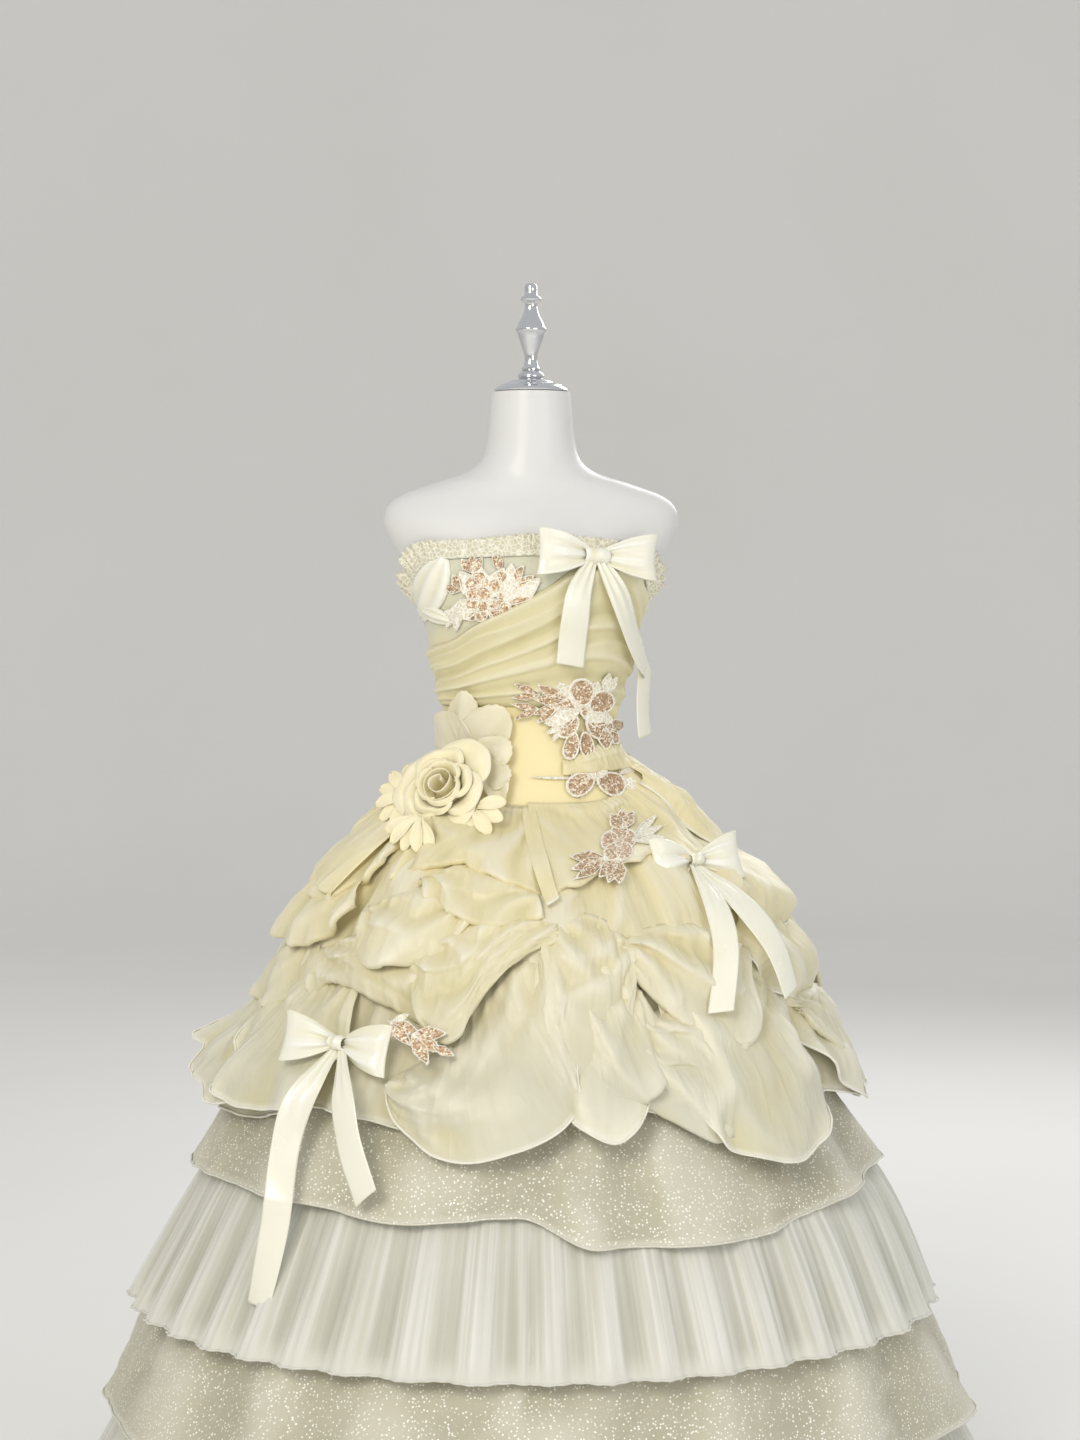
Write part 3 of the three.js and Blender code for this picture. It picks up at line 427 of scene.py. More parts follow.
@dataclass(frozen=True)
class Finish:
    """What every finish has: a name, a record slot, a colour and the shader's plain values."""

    name: str
    slot: str
    base: str
    roughness: float = 0.6
    metallic: float = 0.0
    sheen: float = 0.0
    coat: float = 0.0
    specular: float = 0.5
    glow: float = 0.0

    def material(self) -> bpy.types.Material:
        """The finish as a material, made once."""
        known = bpy.data.materials.get(self.name)
        if known:
            return known
        made = bpy.data.materials.new(self.name)
        made.use_nodes = True
        tree = made.node_tree
        shader = tree.nodes["Principled BSDF"]
        shader.inputs["Base Color"].default_value = colour(self.base)
        shader.inputs["Roughness"].default_value = self.roughness
        shader.inputs["Metallic"].default_value = self.metallic
        shader.inputs["Sheen Weight"].default_value = self.sheen
        shader.inputs["Sheen Roughness"].default_value = 0.4
        shader.inputs["Coat Weight"].default_value = self.coat
        shader.inputs["Coat Roughness"].default_value = 0.12
        shader.inputs["Specular IOR Level"].default_value = self.specular
        shader.inputs["Subsurface Weight"].default_value = self.glow
        shader.inputs["Subsurface Radius"].default_value = (1.0, 0.9, 0.62)
        shader.inputs["Subsurface Scale"].default_value = 0.012
        self.dress(tree, shader)
        return made

    def dress(self, tree: Tree, shader: bpy.types.Node) -> None:
        """Adds the finish's own detail to its shader."""

    def noise(
        self, tree: Tree, where: Socket, scale: float, detail: float = 3.0
    ) -> Socket:
        """Uneven values from 0 to 1 over a piece, scale lumps to the metre."""
        inputs = {"Vector": where, "Scale": scale, "Detail": detail}
        return add_node(tree, "ShaderNodeTexNoise", inputs).outputs["Fac"]

    def between(
        self, tree: Tree, share: object, first: object, second: object
    ) -> Socket:
        """A colour a share of the way from the first to the second."""
        made = add_node(tree, "ShaderNodeMix", {"Factor": share}, data_type="RGBA")
        for key, value in ((6, first), (7, second)):
            if isinstance(value, Socket):
                tree.links.new(value, made.inputs[key])
            else:
                made.inputs[key].default_value = colour(value)
        return made.outputs[2]

    def maths(self, tree: Tree, operation: str, *values: object) -> Socket:
        """The result of a sum done by the shader."""
        return add_node(tree, "ShaderNodeMath", dict(enumerate(values)), operation=operation).outputs[0]

    def ranged(
        self, tree: Tree, value: Socket, low: float, high: float,
        to_low: float = 0.0, to_high: float = 1.0
    ) -> Socket:
        """A value moved from one range to another and held inside it."""
        inputs = {"Value": value, 1: low, 2: high, 3: to_low, 4: to_high}
        return add_node(tree, "ShaderNodeMapRange", inputs).outputs[0]


@dataclass(frozen=True)
class Woven(Finish):
    """Plain woven or netted cloth: a thread pattern, soft cloudiness, and painted shade and highlights in its
    folds.

    thread is the pitch drawn, in millimetres. Real threads are 0.2 to 0.4 mm apart, too fine to
    show, so it is drawn about four times as coarse.
    """

    # The hollow colour is painted shade for the hollows of the folds; the ridge colour is a painted highlight
    # for their ridges and for the streaks.
    hollow_shade: str = "#cfc9a4"
    ridge: str = "#f1eedb"
    hem: str = "#f4f1e0"
    cloud: str = "#d8d4bb"
    cloudiness: float = 0.35
    thread: float = 1.3
    relief: float = 0.05
    streaks: float = 0.0
    second: str = ""
    reach: tuple[float, float] = (0.0, 1.0)
    wrinkle: float = 0.0

    def wrinkles(self, tree: Tree, uv: Socket) -> Socket:
        """Long sharp creases, 20 to 40 mm apart, that run down the cloth as they do in a stiff sheer one."""
        warp = add_node(
            tree, "ShaderNodeMapping", {"Vector": uv, "Scale": (24.0, 6.0, 1.0), "Rotation": (0.0, 0.0, 0.35)}
        )
        uneven = self.noise(tree, warp.outputs[0], 1.0, 2.0)
        level = self.maths(tree, "SUBTRACT", uneven, 0.5)
        sharp = self.maths(tree, "ABSOLUTE", level)
        inputs = {"Strength": self.wrinkle, "Distance": 0.02, "Height": sharp}
        return add_node(tree, "ShaderNodeBump", inputs, invert=True).outputs[0]

    def dress(self, tree: Tree, shader: bpy.types.Node) -> None:
        """Adds the threads, the cloudiness, the wrinkles, and the painted shade and highlights of the folds.
        """
        place = add_node(tree, "ShaderNodeTexCoord")
        uv, solid = place.outputs["UV"], place.outputs["Object"]
        clouds = self.ranged(tree, self.noise(tree, solid, 11.0), 0.35, 0.7, 0.0, self.cloudiness)
        ground: object = self.base
        if self.second:
            height = add_node(tree, "ShaderNodeSeparateXYZ", {0: solid}).outputs[2]
            ground = self.between(tree, self.ranged(tree, height, *self.reach), self.base, self.second)
        tone = self.between(tree, clouds, ground, self.cloud)
        # Painted highlights: fine light streaks in the ridge colour run down the cloth, for light caught on
        # its crinkles.
        if self.streaks:
            stretched = add_node(tree, "ShaderNodeMapping", {"Vector": uv, "Scale": (150.0, 2.6, 1.0)})
            line = self.ranged(
                tree, self.noise(tree, stretched.outputs[0], 1.0, 2.0), 0.42, 0.66, 0.0, self.streaks
            )
            tone = self.between(tree, line, tone, self.ridge)
        # Painted shade: the fold hollows are darkened towards the hollow colour. Painted highlight: the fold
        # ridges are lightened towards the ridge colour.
        fold = add_node(tree, "ShaderNodeAttribute", attribute_name="fold").outputs["Fac"]
        tone = self.between(tree, self.ranged(tree, fold, -0.1, -1.0, 0.0, 0.65), tone, self.hollow_shade)
        tone = self.between(tree, self.ranged(tree, fold, 0.15, 1.0, 0.0, 0.6), tone, self.ridge)
        edge = add_node(tree, "ShaderNodeAttribute", attribute_name="hem").outputs["Fac"]
        tone = self.between(tree, self.ranged(tree, edge, 0.2, 0.9, 0.0, 0.9), tone, self.hem)
        tree.links.new(tone, shader.inputs["Base Color"])
        pitch = TAU / (self.thread * MM)
        axes = add_node(tree, "ShaderNodeSeparateXYZ", {0: uv}).outputs
        waves = []
        for axis in (0, 1):
            turned = self.maths(tree, "MULTIPLY", axes[axis], pitch)
            waves.append(self.maths(tree, "SINE", turned))
        weave = self.maths(tree, "MULTIPLY", *waves)
        crepe = self.noise(tree, solid, 260.0, 2.0)
        height = self.maths(tree, "ADD", weave, crepe)
        inputs = {"Strength": self.relief, "Distance": 0.0006, "Height": height}
        if self.wrinkle:
            inputs["Normal"] = self.wrinkles(tree, uv)
        tree.links.new(add_node(tree, "ShaderNodeBump", inputs).outputs[0], shader.inputs["Normal"])
        rough = self.ranged(
            tree, self.noise(tree, solid, 30.0), 0.3, 0.7, self.roughness - 0.04, self.roughness + 0.04
        )
        tree.links.new(rough, shader.inputs["Roughness"])


@dataclass(frozen=True)
class Glittered(Woven):
    """Soft tulle with glitter dots glued to it, 1 mm across and about 4 mm apart.

    The dots are drawn 2 mm across, because real ones would be lost between pixels.
    """

    # The dots' near-white colour is partly their own pale tone and partly a painted glint.
    dot: str = "#fffef6"
    spacing: float = 4.3
    size: float = 0.26

    def dress(self, tree: Tree, shader: bpy.types.Node) -> None:
        """Adds the dots over the cloth, with painted glints."""
        super().dress(tree, shader)
        ground = shader.inputs["Base Color"].links[0].from_socket
        solid = add_node(tree, "ShaderNodeTexCoord").outputs["Object"]
        cells = add_node(tree, "ShaderNodeTexVoronoi", {"Vector": solid, "Scale": 1 / (self.spacing * MM)})
        dots = self.ranged(tree, cells.outputs["Distance"], self.size + 0.08, self.size - 0.04)
        chance = add_node(tree, "ShaderNodeSeparateColor", {0: cells.outputs["Color"]}).outputs
        # Painted glint: each dot gets its own random strength, as if it caught the light its own way.
        lit = self.ranged(tree, chance[0], 0.2, 0.6, 0.15, 1.0)
        share = self.maths(tree, "MULTIPLY", dots, lit)
        tree.links.new(self.between(tree, share, ground, self.dot), shader.inputs["Base Color"])
        tree.links.new(self.ranged(tree, share, 0.0, 1.0, self.roughness, 0.2), shader.inputs["Roughness"])


@dataclass(frozen=True)
class Laced(Woven):
    """Machine lace: a fine net with corded motifs and clear sequins worked into it."""

    motif: str = "#fbfaf0"
    sparkle: str = "#cdb896"

    def dress(self, tree: Tree, shader: bpy.types.Node) -> None:
        """Adds cords about 6 mm apart and sequins about 2 mm across."""
        super().dress(tree, shader)
        ground = shader.inputs["Base Color"].links[0].from_socket
        solid = add_node(tree, "ShaderNodeTexCoord").outputs["Object"]
        cords = add_node(
            tree, "ShaderNodeTexVoronoi", {"Vector": solid, "Scale": 160.0}, feature="DISTANCE_TO_EDGE"
        )
        cord = self.ranged(tree, cords.outputs["Distance"], 0.16, 0.04)
        flecks = add_node(tree, "ShaderNodeTexVoronoi", {"Vector": solid, "Scale": 330.0})
        fleck = self.ranged(tree, flecks.outputs["Distance"], 0.34, 0.2, 0.0, 0.8)
        tone = self.between(tree, fleck, ground, self.sparkle)
        tree.links.new(self.between(tree, cord, tone, self.motif), shader.inputs["Base Color"])
        inputs = {"Strength": 0.5, "Distance": 0.0008, "Height": cord}
        tree.links.new(add_node(tree, "ShaderNodeBump", inputs).outputs[0], shader.inputs["Normal"])


@dataclass(frozen=True)
class Sequinned(Finish):
    """Small sequins sewn close, 2 mm apart: each tilts its own way, so each gets its own painted reflection,
    from dark to a bright glint.
    """

    # glint and deep are painted reflections: a bright glint, and the dark of a sequin tilted away from the
    # light.
    glint: str = "#f8ecd6"
    deep: str = "#98795b"

    def dress(self, tree: Tree, shader: bpy.types.Node) -> None:
        """Gives each sequin its painted reflection and its dome."""
        solid = add_node(tree, "ShaderNodeTexCoord").outputs["Object"]
        cells = add_node(tree, "ShaderNodeTexVoronoi", {"Vector": solid, "Scale": 430.0})
        chance = add_node(tree, "ShaderNodeSeparateColor", {0: cells.outputs["Color"]}).outputs
        # Painted reflection: at random, some sequins are darkened towards deep and some lightened towards
        # glint.
        tone = self.between(tree, self.ranged(tree, chance[0], 0.0, 0.45, 1.0, 0.0), self.base, self.deep)
        tone = self.between(tree, self.ranged(tree, chance[0], 0.62, 0.95), tone, self.glint)
        tree.links.new(tone, shader.inputs["Base Color"])
        inputs = {"Strength": 0.6, "Distance": 0.001, "Height": cells.outputs["Distance"]}
        tree.links.new(add_node(tree, "ShaderNodeBump", inputs).outputs[0], shader.inputs["Normal"])


@dataclass(frozen=True)
class Satin(Woven):
    """Polyester satin: long floats across the ribbon give a broad bright highlight."""

    def dress(self, tree: Tree, shader: bpy.types.Node) -> None:
        """Adds the floats' direction to the gloss."""
        super().dress(tree, shader)
        shader.inputs["Anisotropic"].default_value = 0.5
        tangent = add_node(tree, "ShaderNodeTangent", direction_type="UV_MAP")
        tree.links.new(tangent.outputs[0], shader.inputs["Tangent"])


@dataclass(frozen=True)
class Smooth(Finish):
    """Moulded or polished stock with faint wipe marks."""

    mark: str = "#e0e1e2"
    mark_share: float = 0.3
    grain: float = 24.0

    def dress(self, tree: Tree, shader: bpy.types.Node) -> None:
        """Adds the marks to the colour and the gloss."""
        solid = add_node(tree, "ShaderNodeTexCoord").outputs["Object"]
        marks = self.noise(tree, solid, self.grain, 4.0)
        share = self.ranged(tree, marks, 0.4, 0.75, 0.0, self.mark_share)
        tree.links.new(self.between(tree, share, self.base, self.mark), shader.inputs["Base Color"])
        gloss = self.ranged(tree, marks, 0.3, 0.8, self.roughness, self.roughness + 0.08)
        tree.links.new(gloss, shader.inputs["Roughness"])


# Glass fibre under satin-white lacquer: a soft broad sheen with no grain.
FORM_WHITE = Smooth("glass_fibre_white_lacquer", "form_white", "#dcdcdb", 0.42, coat=0.15)
# Chromed brass: mirror-bright with faint wipe marks.
CHROME = Smooth("chromed_brass", "polished_chrome", "#d9dbde", 0.07, metallic=1.0, mark="#c4c6ca")
# Nickel-plated steel tube and a pressed steel foot: duller than the chrome.
STAND_STEEL = Smooth(
    "nickelled_steel", "stand_metal", "#b9bbbe", 0.28, metallic=1.0, mark="#a6a8ab", grain=60
)
# Duchess satin under net: pale yellow at the waist, pale grey-green over the bust.
# Its hollow and ridge colours are painted shade and painted highlight for the folds and seams.
BODICE_CLOTH = Woven(
    "duchess_satin_under_net", "bodice_cloth", "#f4e7b5", 0.5, sheen=0.2, second="#cfd0bf", reach=(1.14, 1.2),
    hollow_shade="#e2d69e", ridge="#fff8dc", hem="#f7f0d0", cloud="#f4e9ba", relief=0.04,
)
# Silk chiffon: matt, with a fine crepe grain that catches light along each pleat.
# Its hollow and ridge colours are painted shade and painted highlight for the pleats.
CHIFFON = Woven(
    "silk_chiffon", "chiffon", "#e5dcb0", 0.66, sheen=0.3, glow=0.15,
    hollow_shade="#c9bf8b", ridge="#f4eecf", hem="#efe8c6", cloud="#dcd3a3", relief=0.12,
)
# Machine lace: pale cords over a duller net, with small warm glints.
# Its default hollow and ridge colours are painted shade and painted highlight for the frill's gathers.
LACE = Laced("machine_lace", "lace", "#d2cfba", 0.7, sheen=0.2, relief=0.1, motif="#efeddd")
# Crystal organza: stiff, faintly glossy and half sheer, so light goes on through it into the folds.
# Its hollow and ridge colours are painted shade and painted highlight for the folds.
ORGANZA = Woven(
    "crystal_organza", "organza", "#f5e9b8", 0.44, sheen=0.2, glow=0.2, second="#dad7c0",
    reach=(0.9, 0.62), wrinkle=0.3, hollow_shade="#dacf9a", ridge="#fbf6de", hem="#fbf8e8", cloud="#e4dcb6",
    relief=0.05,
)
# The same organza cut into petals, of one layer, so it looks paler.
# Its hollow colour is painted shade in the folds.
PETAL_ORGANZA = replace(
    ORGANZA, name="crystal_organza_petals", base="#f3ecce", second="", hollow_shade="#e0d9b2", cloud="#e6dfbd",
)
# Stiff nylon net: matt and pale, with its mesh just showing.
PETTICOAT_NET = Woven(
    "stiff_nylon_net", "petticoat_net", "#e4e2d6", 0.7, cloud="#d6d4c6", relief=0.2, thread=3.0
)
# Soft tulle: greyish, with bright dots that catch the light, their glints painted into the colour.
# Its hollow and ridge colours are painted shade and painted highlight for the folds.
GLITTER = Glittered(
    "glitter_dot_tulle", "glitter_tulle", "#c6c2ae", 0.62, sheen=0.15,
    hollow_shade="#aeaa95", ridge="#dbd8c8", hem="#dedccd", cloud="#b7b39c", cloudiness=0.8, relief=0.15,
)
# Crinkled tulle: fine light and dark streaks that run down each pleat; the light ones are painted highlights
# on its crinkles.
# Its hollow and ridge colours are painted shade and painted highlight for the folds.
PLEATED = Woven(
    "crinkled_tulle", "pleated_tulle", "#d8d7c7", 0.6, sheen=0.25, glow=0.2,
    hollow_shade="#b6b4a1", ridge="#f8f8f0", hem="#e6e5d8", cloud="#cfcdba", cloudiness=0.5, relief=0.15,
    streaks=0.55,
)
# Polyester satin: smooth, with a bright soft band along each fold.
# The band is partly gloss and partly a highlight painted on the fold ridges in the ridge colour; the hollow
# colour is painted shade.
SATIN = Satin(
    "polyester_satin_ribbon", "satin", "#f0efe0", 0.24, sheen=0.1, specular=0.7,
    hollow_shade="#e6dfb8", ridge="#ffffff", hem="#fbf9ee", cloud="#f1edd8", cloudiness=0.2, relief=0.02,
)
# Poly-silk petals with heat-curled edges: matt and warm.
# Its hollow and ridge colours are painted shade and painted highlight for the folds and curled lips.
ROSE_CLOTH = Woven(
    "petal_silk", "rose_cloth", "#f6eecb", 0.62, sheen=0.3,
    hollow_shade="#f7edc6", ridge="#faf5dc", hem="#f6f0d2", cloud="#eae0b8", relief=0.08,
)
# Rayon thread embroidery, matt and ropy; rose-gold sequins 2 mm across; clear beads.
THREAD = Laced("rayon_embroidery", "embroidery", "#ebe4d2", 0.6, sheen=0.3, relief=0.3, sparkle="#cdb28e")
SEQUIN = Sequinned("rose_gold_sequins", "embroidery", "#bfa180", 0.3, metallic=0.2)
CRYSTAL = Smooth(
    "clear_beads", "embroidery", "#fbf6ee", 0.12, mark="#ecd9c4", mark_share=1.0, grain=300, specular=0.8
)


# ---------------------------------------------------------------- cloth in sheets


@dataclass
class Cloth:
    """A sheet of cloth as a grid of points, rows from its upper edge to its hem.

    grid is rows by columns by 3, in millimetres. A closed sheet's last column lies on its first.
    fold and hem hold a value for each point: how far it stands up or down in a fold, which the finish paints
    as shade in the hollows and as highlights on the ridges, and how far it belongs to the rolled hem.
    """

    name: str
    grid: Array
    finish: Finish
    held: Held
    rests_on: tuple[str, ...]
    nodes: tuple[str, ...] = ()
    fold: Array | None = None
    hem: Array | None = None
    closed: bool = False
    wall: float = 0.7
    facing: Vector | None = None

    def roll_hem(self, radius: float = 1.1, steps: int = 5, under: bool = False) -> "Cloth":
        """Rolls the lower edge up into a fine narrow hem, or turns it under in a soft fold."""
        last, before = self.grid[-1], self.grid[-2]
        down = unit(last - before)
        run = np.gradient(last, axis=0)
        if self.closed:
            run[0] = run[-1] = last[1] - last[-2]
        out = unit(np.cross(run, down))
        away = last * (1, 1, 0) if self.facing is None else np.broadcast_to(np.array(self.facing), last.shape)
        out *= np.where((out * away).sum(-1, keepdims=True) < 0, -1, 1)
        turns = np.linspace(0, (1.05 if under else 1.6) * math.pi, steps + 1)[1:]
        out = -out if under else out
        rolled = [last + radius * (out * (1 - math.cos(t)) + down * math.sin(t)) for t in turns]
        rows = self.grid.shape[0]
        self.grid = np.concatenate([self.grid, np.stack(rolled)])
        if self.fold is not None:
            self.fold = np.concatenate([self.fold, np.repeat(self.fold[-1:], steps, axis=0)])
        self.hem = np.zeros(self.grid.shape[:2])
        if not under:
            self.hem[rows - 1 :] = 1
            self.hem[rows - 2] = 0.3
        return self

    def sizes(self) -> tuple[float, float, float]:
        """The cut's width, length and area, in metres and square metres."""
        steps_across = np.linalg.norm(np.diff(self.grid, axis=1), axis=2)
        steps_down = np.linalg.norm(np.diff(self.grid, axis=0), axis=2)
        width, length = steps_across.sum(1).max() * MM, steps_down.sum(0).max() * MM
        a, b = np.diff(self.grid[:-1], axis=1), np.diff(self.grid[:, :-1], axis=0)
        area = np.linalg.norm(np.cross(a, b), axis=2).sum() * MM * MM
        return float(width), float(length), float(area)

    def make(self) -> bpy.types.Object:
        rows, columns = self.grid.shape[:2]
        made = bmesh.new()
        bmesh.ops.create_grid(made, x_segments=columns - 1, y_segments=rows - 1, size=0.5)
        mesh = bpy.data.meshes.new(self.name)
        made.to_mesh(mesh)
        made.free()
        flat = np.empty(3 * len(mesh.vertices))
        mesh.vertices.foreach_get("co", flat)
        flat = flat.reshape(-1, 3)
        c = np.rint((flat[:, 0] + 0.5) * (columns - 1)).astype(int)
        r = np.rint((0.5 - flat[:, 1]) * (rows - 1)).astype(int)
        mesh.vertices.foreach_set("co", (self.grid[r, c] * MM).ravel())
        for name, values in (("fold", self.fold), ("hem", self.hem)):
            held = mesh.attributes.new(name, "FLOAT", "POINT")
            if values is not None:
                held.data.foreach_set("value", np.ascontiguousarray(values[r, c], dtype=np.float32))
        width, length, area = self.sizes()
        corner = np.empty(len(mesh.loops), dtype=np.int32)
        mesh.loops.foreach_get("vertex_index", corner)
        uv = np.stack([c[corner] / (columns - 1) * width, (1 - r[corner] / (rows - 1)) * length], axis=1)
        mesh.uv_layers.new(name="cut").data.foreach_set("uv", uv.ravel().astype(np.float32))
        if self.closed:
            seam = set(np.flatnonzero((c == 0) | (c == columns - 1)).tolist())
            joined = bmesh.new()
            joined.from_mesh(mesh)
            edge = [v for v in joined.verts if v.index in seam]
            bmesh.ops.remove_doubles(joined, verts=edge, dist=1e-6)
            joined.to_mesh(mesh)
            joined.free()
        mesh.update()
        if self.faces_in(mesh):
            mesh.flip_normals()
        mesh.shade_smooth()
        made_object = bpy.data.objects.new(self.name, mesh)
        bpy.context.collection.objects.link(made_object)
        thickness = made_object.modifiers.new("wall", "SOLIDIFY")
        thickness.thickness = self.wall * MM
        thickness.offset = -1.0
        finish(made_object, self.finish, self.nodes)
        return made_object

    def faces_in(self, mesh: bpy.types.Mesh) -> bool:
        """Whether the mesh's faces point the wrong way."""
        count = len(mesh.polygons)
        normals, centres, areas = np.empty(3 * count), np.empty(3 * count), np.empty(count)
        mesh.polygons.foreach_get("normal", normals)
        mesh.polygons.foreach_get("center", centres)
        mesh.polygons.foreach_get("area", areas)
        away = centres.reshape(-1, 3) * (1, 1, 0) if self.facing is None else np.array(self.facing)
        return float(((normals.reshape(-1, 3) * away).sum(1) * areas).sum()) < 0


def finish(made: bpy.types.Object, look: Finish, nodes: Sequence[str] = ()) -> bpy.types.Object:
    """Gives a piece its material, its body and the nodes that it stands for."""
    made.data.materials.append(look.material())
    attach(made, ROOT)
    if nodes:
        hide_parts(*nodes)
    log.info("%s: %d faces, %s", made.name, len(made.data.polygons), look.name)
    return made


def square(rows: int, columns: int) -> tuple[Array, Array]:
    """Shares across and down a sheet, for every point of its grid."""
    u, v = np.meshgrid(np.linspace(0, 1, columns), np.linspace(0, 1, rows))
    return u, v


def link(name: str, made: bmesh.types.BMesh) -> bpy.types.Object:
    """Turns a bmesh into a smooth object of the scene."""
    mesh = bpy.data.meshes.new(name)
    made.to_mesh(mesh)
    made.free()
    mesh.shade_smooth()
    made_object = bpy.data.objects.new(name, mesh)
    bpy.context.collection.objects.link(made_object)
    return made_object


def spun(points: Table, steps: int) -> bmesh.types.BMesh:
    """A line of radius and height, in metres, spun round the axis."""
    made = bmesh.new()
    line = [made.verts.new((r, 0.0, z)) for r, z in points]
    edges = [made.edges.new(pair) for pair in zip(line[:-1], line[1:])]
    bmesh.ops.spin(
        made, geom=[*line, *edges], cent=(0, 0, 0), axis=(0, 0, 1), angle=TAU, steps=steps, use_merge=True
    )
    bmesh.ops.remove_doubles(made, verts=made.verts, dist=1e-6)
    bmesh.ops.recalc_face_normals(made, faces=made.faces)
    return made


def turned(name: str, profile: Table, look: Finish, nodes: Sequence[str], steps: int) -> bpy.types.Object:
    """Spins a profile of radius and height, from the bottom up, round the axis.

    Args:
        name: The piece's name.
        profile: Radius and height in millimetres.
        look: Its finish.
        nodes: The nodes that it stands for.
        steps: Facets round it.

    Returns:
        The piece.
    """
    points = [(0.0, profile[0][1]), *profile, (0.0, profile[-1][1])]
    piece = link(name, spun([(r * MM, z * MM) for r, z in points], steps))
    piece.data.set_sharp_from_angle(angle=math.radians(40))
    return finish(piece, look, nodes)


# ---------------------------------------------------------------- the display form


@dataclass(frozen=True)
class DisplayForm:
    """A white torso with a neck, on a pole and a round foot, under a chromed cap and finial."""

    columns: int = 108
    rows: int = 84
    neck_top: float = 1508.0
    gap: float = 0.3
    base: Table = (
        (150, 0), (150, 7), (149, 9.5), (145, 11.5), (140, 12), (60, 13.2), (34, 15), (27, 20), (24, 28),
        (24, 38)
    )
    cap: Table = (
        (46, 0), (48.5, 1), (49, 2.5), (48, 4.5), (46, 6), (43.5, 7.5), (41.5, 8.6), (41, 9.4), (38, 10.2),
        (34, 11), (32, 12), (30, 13.6), (27, 15), (22, 16.4), (19, 17),
    )
    finial: Table = (
        (15, 0), (17.2, 2.5), (17.4, 5), (15.5, 8), (12.4, 10), (11, 11), (12.4, 12.6), (12.4, 14),
        (10.6, 15.6),
        (9.4, 18), (9, 21), (8.4, 24), (8.2, 27), (8.6, 31), (10, 36), (12, 42), (14.6, 49), (16.8, 56),
        (17.8, 60.5),
        (18.6, 61.5), (20, 63.5), (20.4, 65.5), (20, 67.5), (18.4, 69), (17.8, 70), (17, 73), (14.6, 78),
        (11.8, 83), (9.4, 89), (8.2, 95), (8, 99), (9.2, 101), (13, 103), (14, 105.5), (13, 108), (9.4, 110),
        (8.2, 112), (8.2, 118), (8.2, 122), (7.4, 124.4), (5, 126),
    )

    def build(self) -> None:
        """Makes the torso and its hardware."""
        t = np.linspace(0, 1, self.rows)
        outline = spline(BODY, t, (1, 1, 1, 1))
        angle = np.linspace(0, 360, self.columns + 1)
        z, half, front, back = (outline[:, k][:, None] for k in range(4))
        grid = with_bust(half, front, back, angle[None, :], z, np.zeros_like(z))
        self.capped_shell("torso", grid[::-1])
        turned("stand_foot", self.base, STAND_STEEL, ["form_base"], 96)
        pole = ((16, 38.3), (16, 799.7))
        turned("stand_pole", pole, STAND_STEEL, ["form_pole"], 32)
        lift = self.neck_top + self.gap
        turned("neck_plate", [(r, z + lift) for r, z in self.cap], CHROME, ["neck_cap"], 80)
        foot = lift + self.cap[-1][1] + self.gap
        turned("neck_finial", [(r, z + foot) for r, z in self.finial], CHROME, ["finial"], 56)

    def capped_shell(self, name: str, grid: Array) -> None:
        """Makes the torso from its rings, closed flat at the neck and below the hips."""
        rows, columns = grid.shape[:2]
        made = bmesh.new()
        bmesh.ops.create_grid(made, x_segments=columns - 1, y_segments=rows - 1, size=0.5)
        for vertex in made.verts:
            c = round((vertex.co.x + 0.5) * (columns - 1))
            r = round((0.5 - vertex.co.y) * (rows - 1))
            vertex.co = Vector(grid[r, c] * MM)
        bmesh.ops.remove_doubles(made, verts=made.verts, dist=1e-6)
        rims = [e for e in made.edges if e.is_boundary]
        bmesh.ops.holes_fill(made, edges=rims, sides=0)
        bmesh.ops.recalc_face_normals(made, faces=made.faces)
        piece = link(name, made)
        piece.data.set_sharp_from_angle(angle=math.radians(50))
        finish(piece, FORM_WHITE, ["form_torso"])


# ---------------------------------------------------------------- bodice

# Angles of the panels' edges: in front of and behind the side seams, and beside the zip.
SEAM_FRONT, SEAM_BACK, ZIP_EDGE = 87.9, 88.1, 179.9
NECKLINE: Table = ((0, 1298), (45, 1292), (63, 1276), (81, 1246), (99, 1222), (126, 1208), (180, 1200))


def neckline(angle: Array) -> Array:
    """Height of the bodice's upper edge."""
    return column(NECKLINE, 1, np.abs(wrapped(angle)))


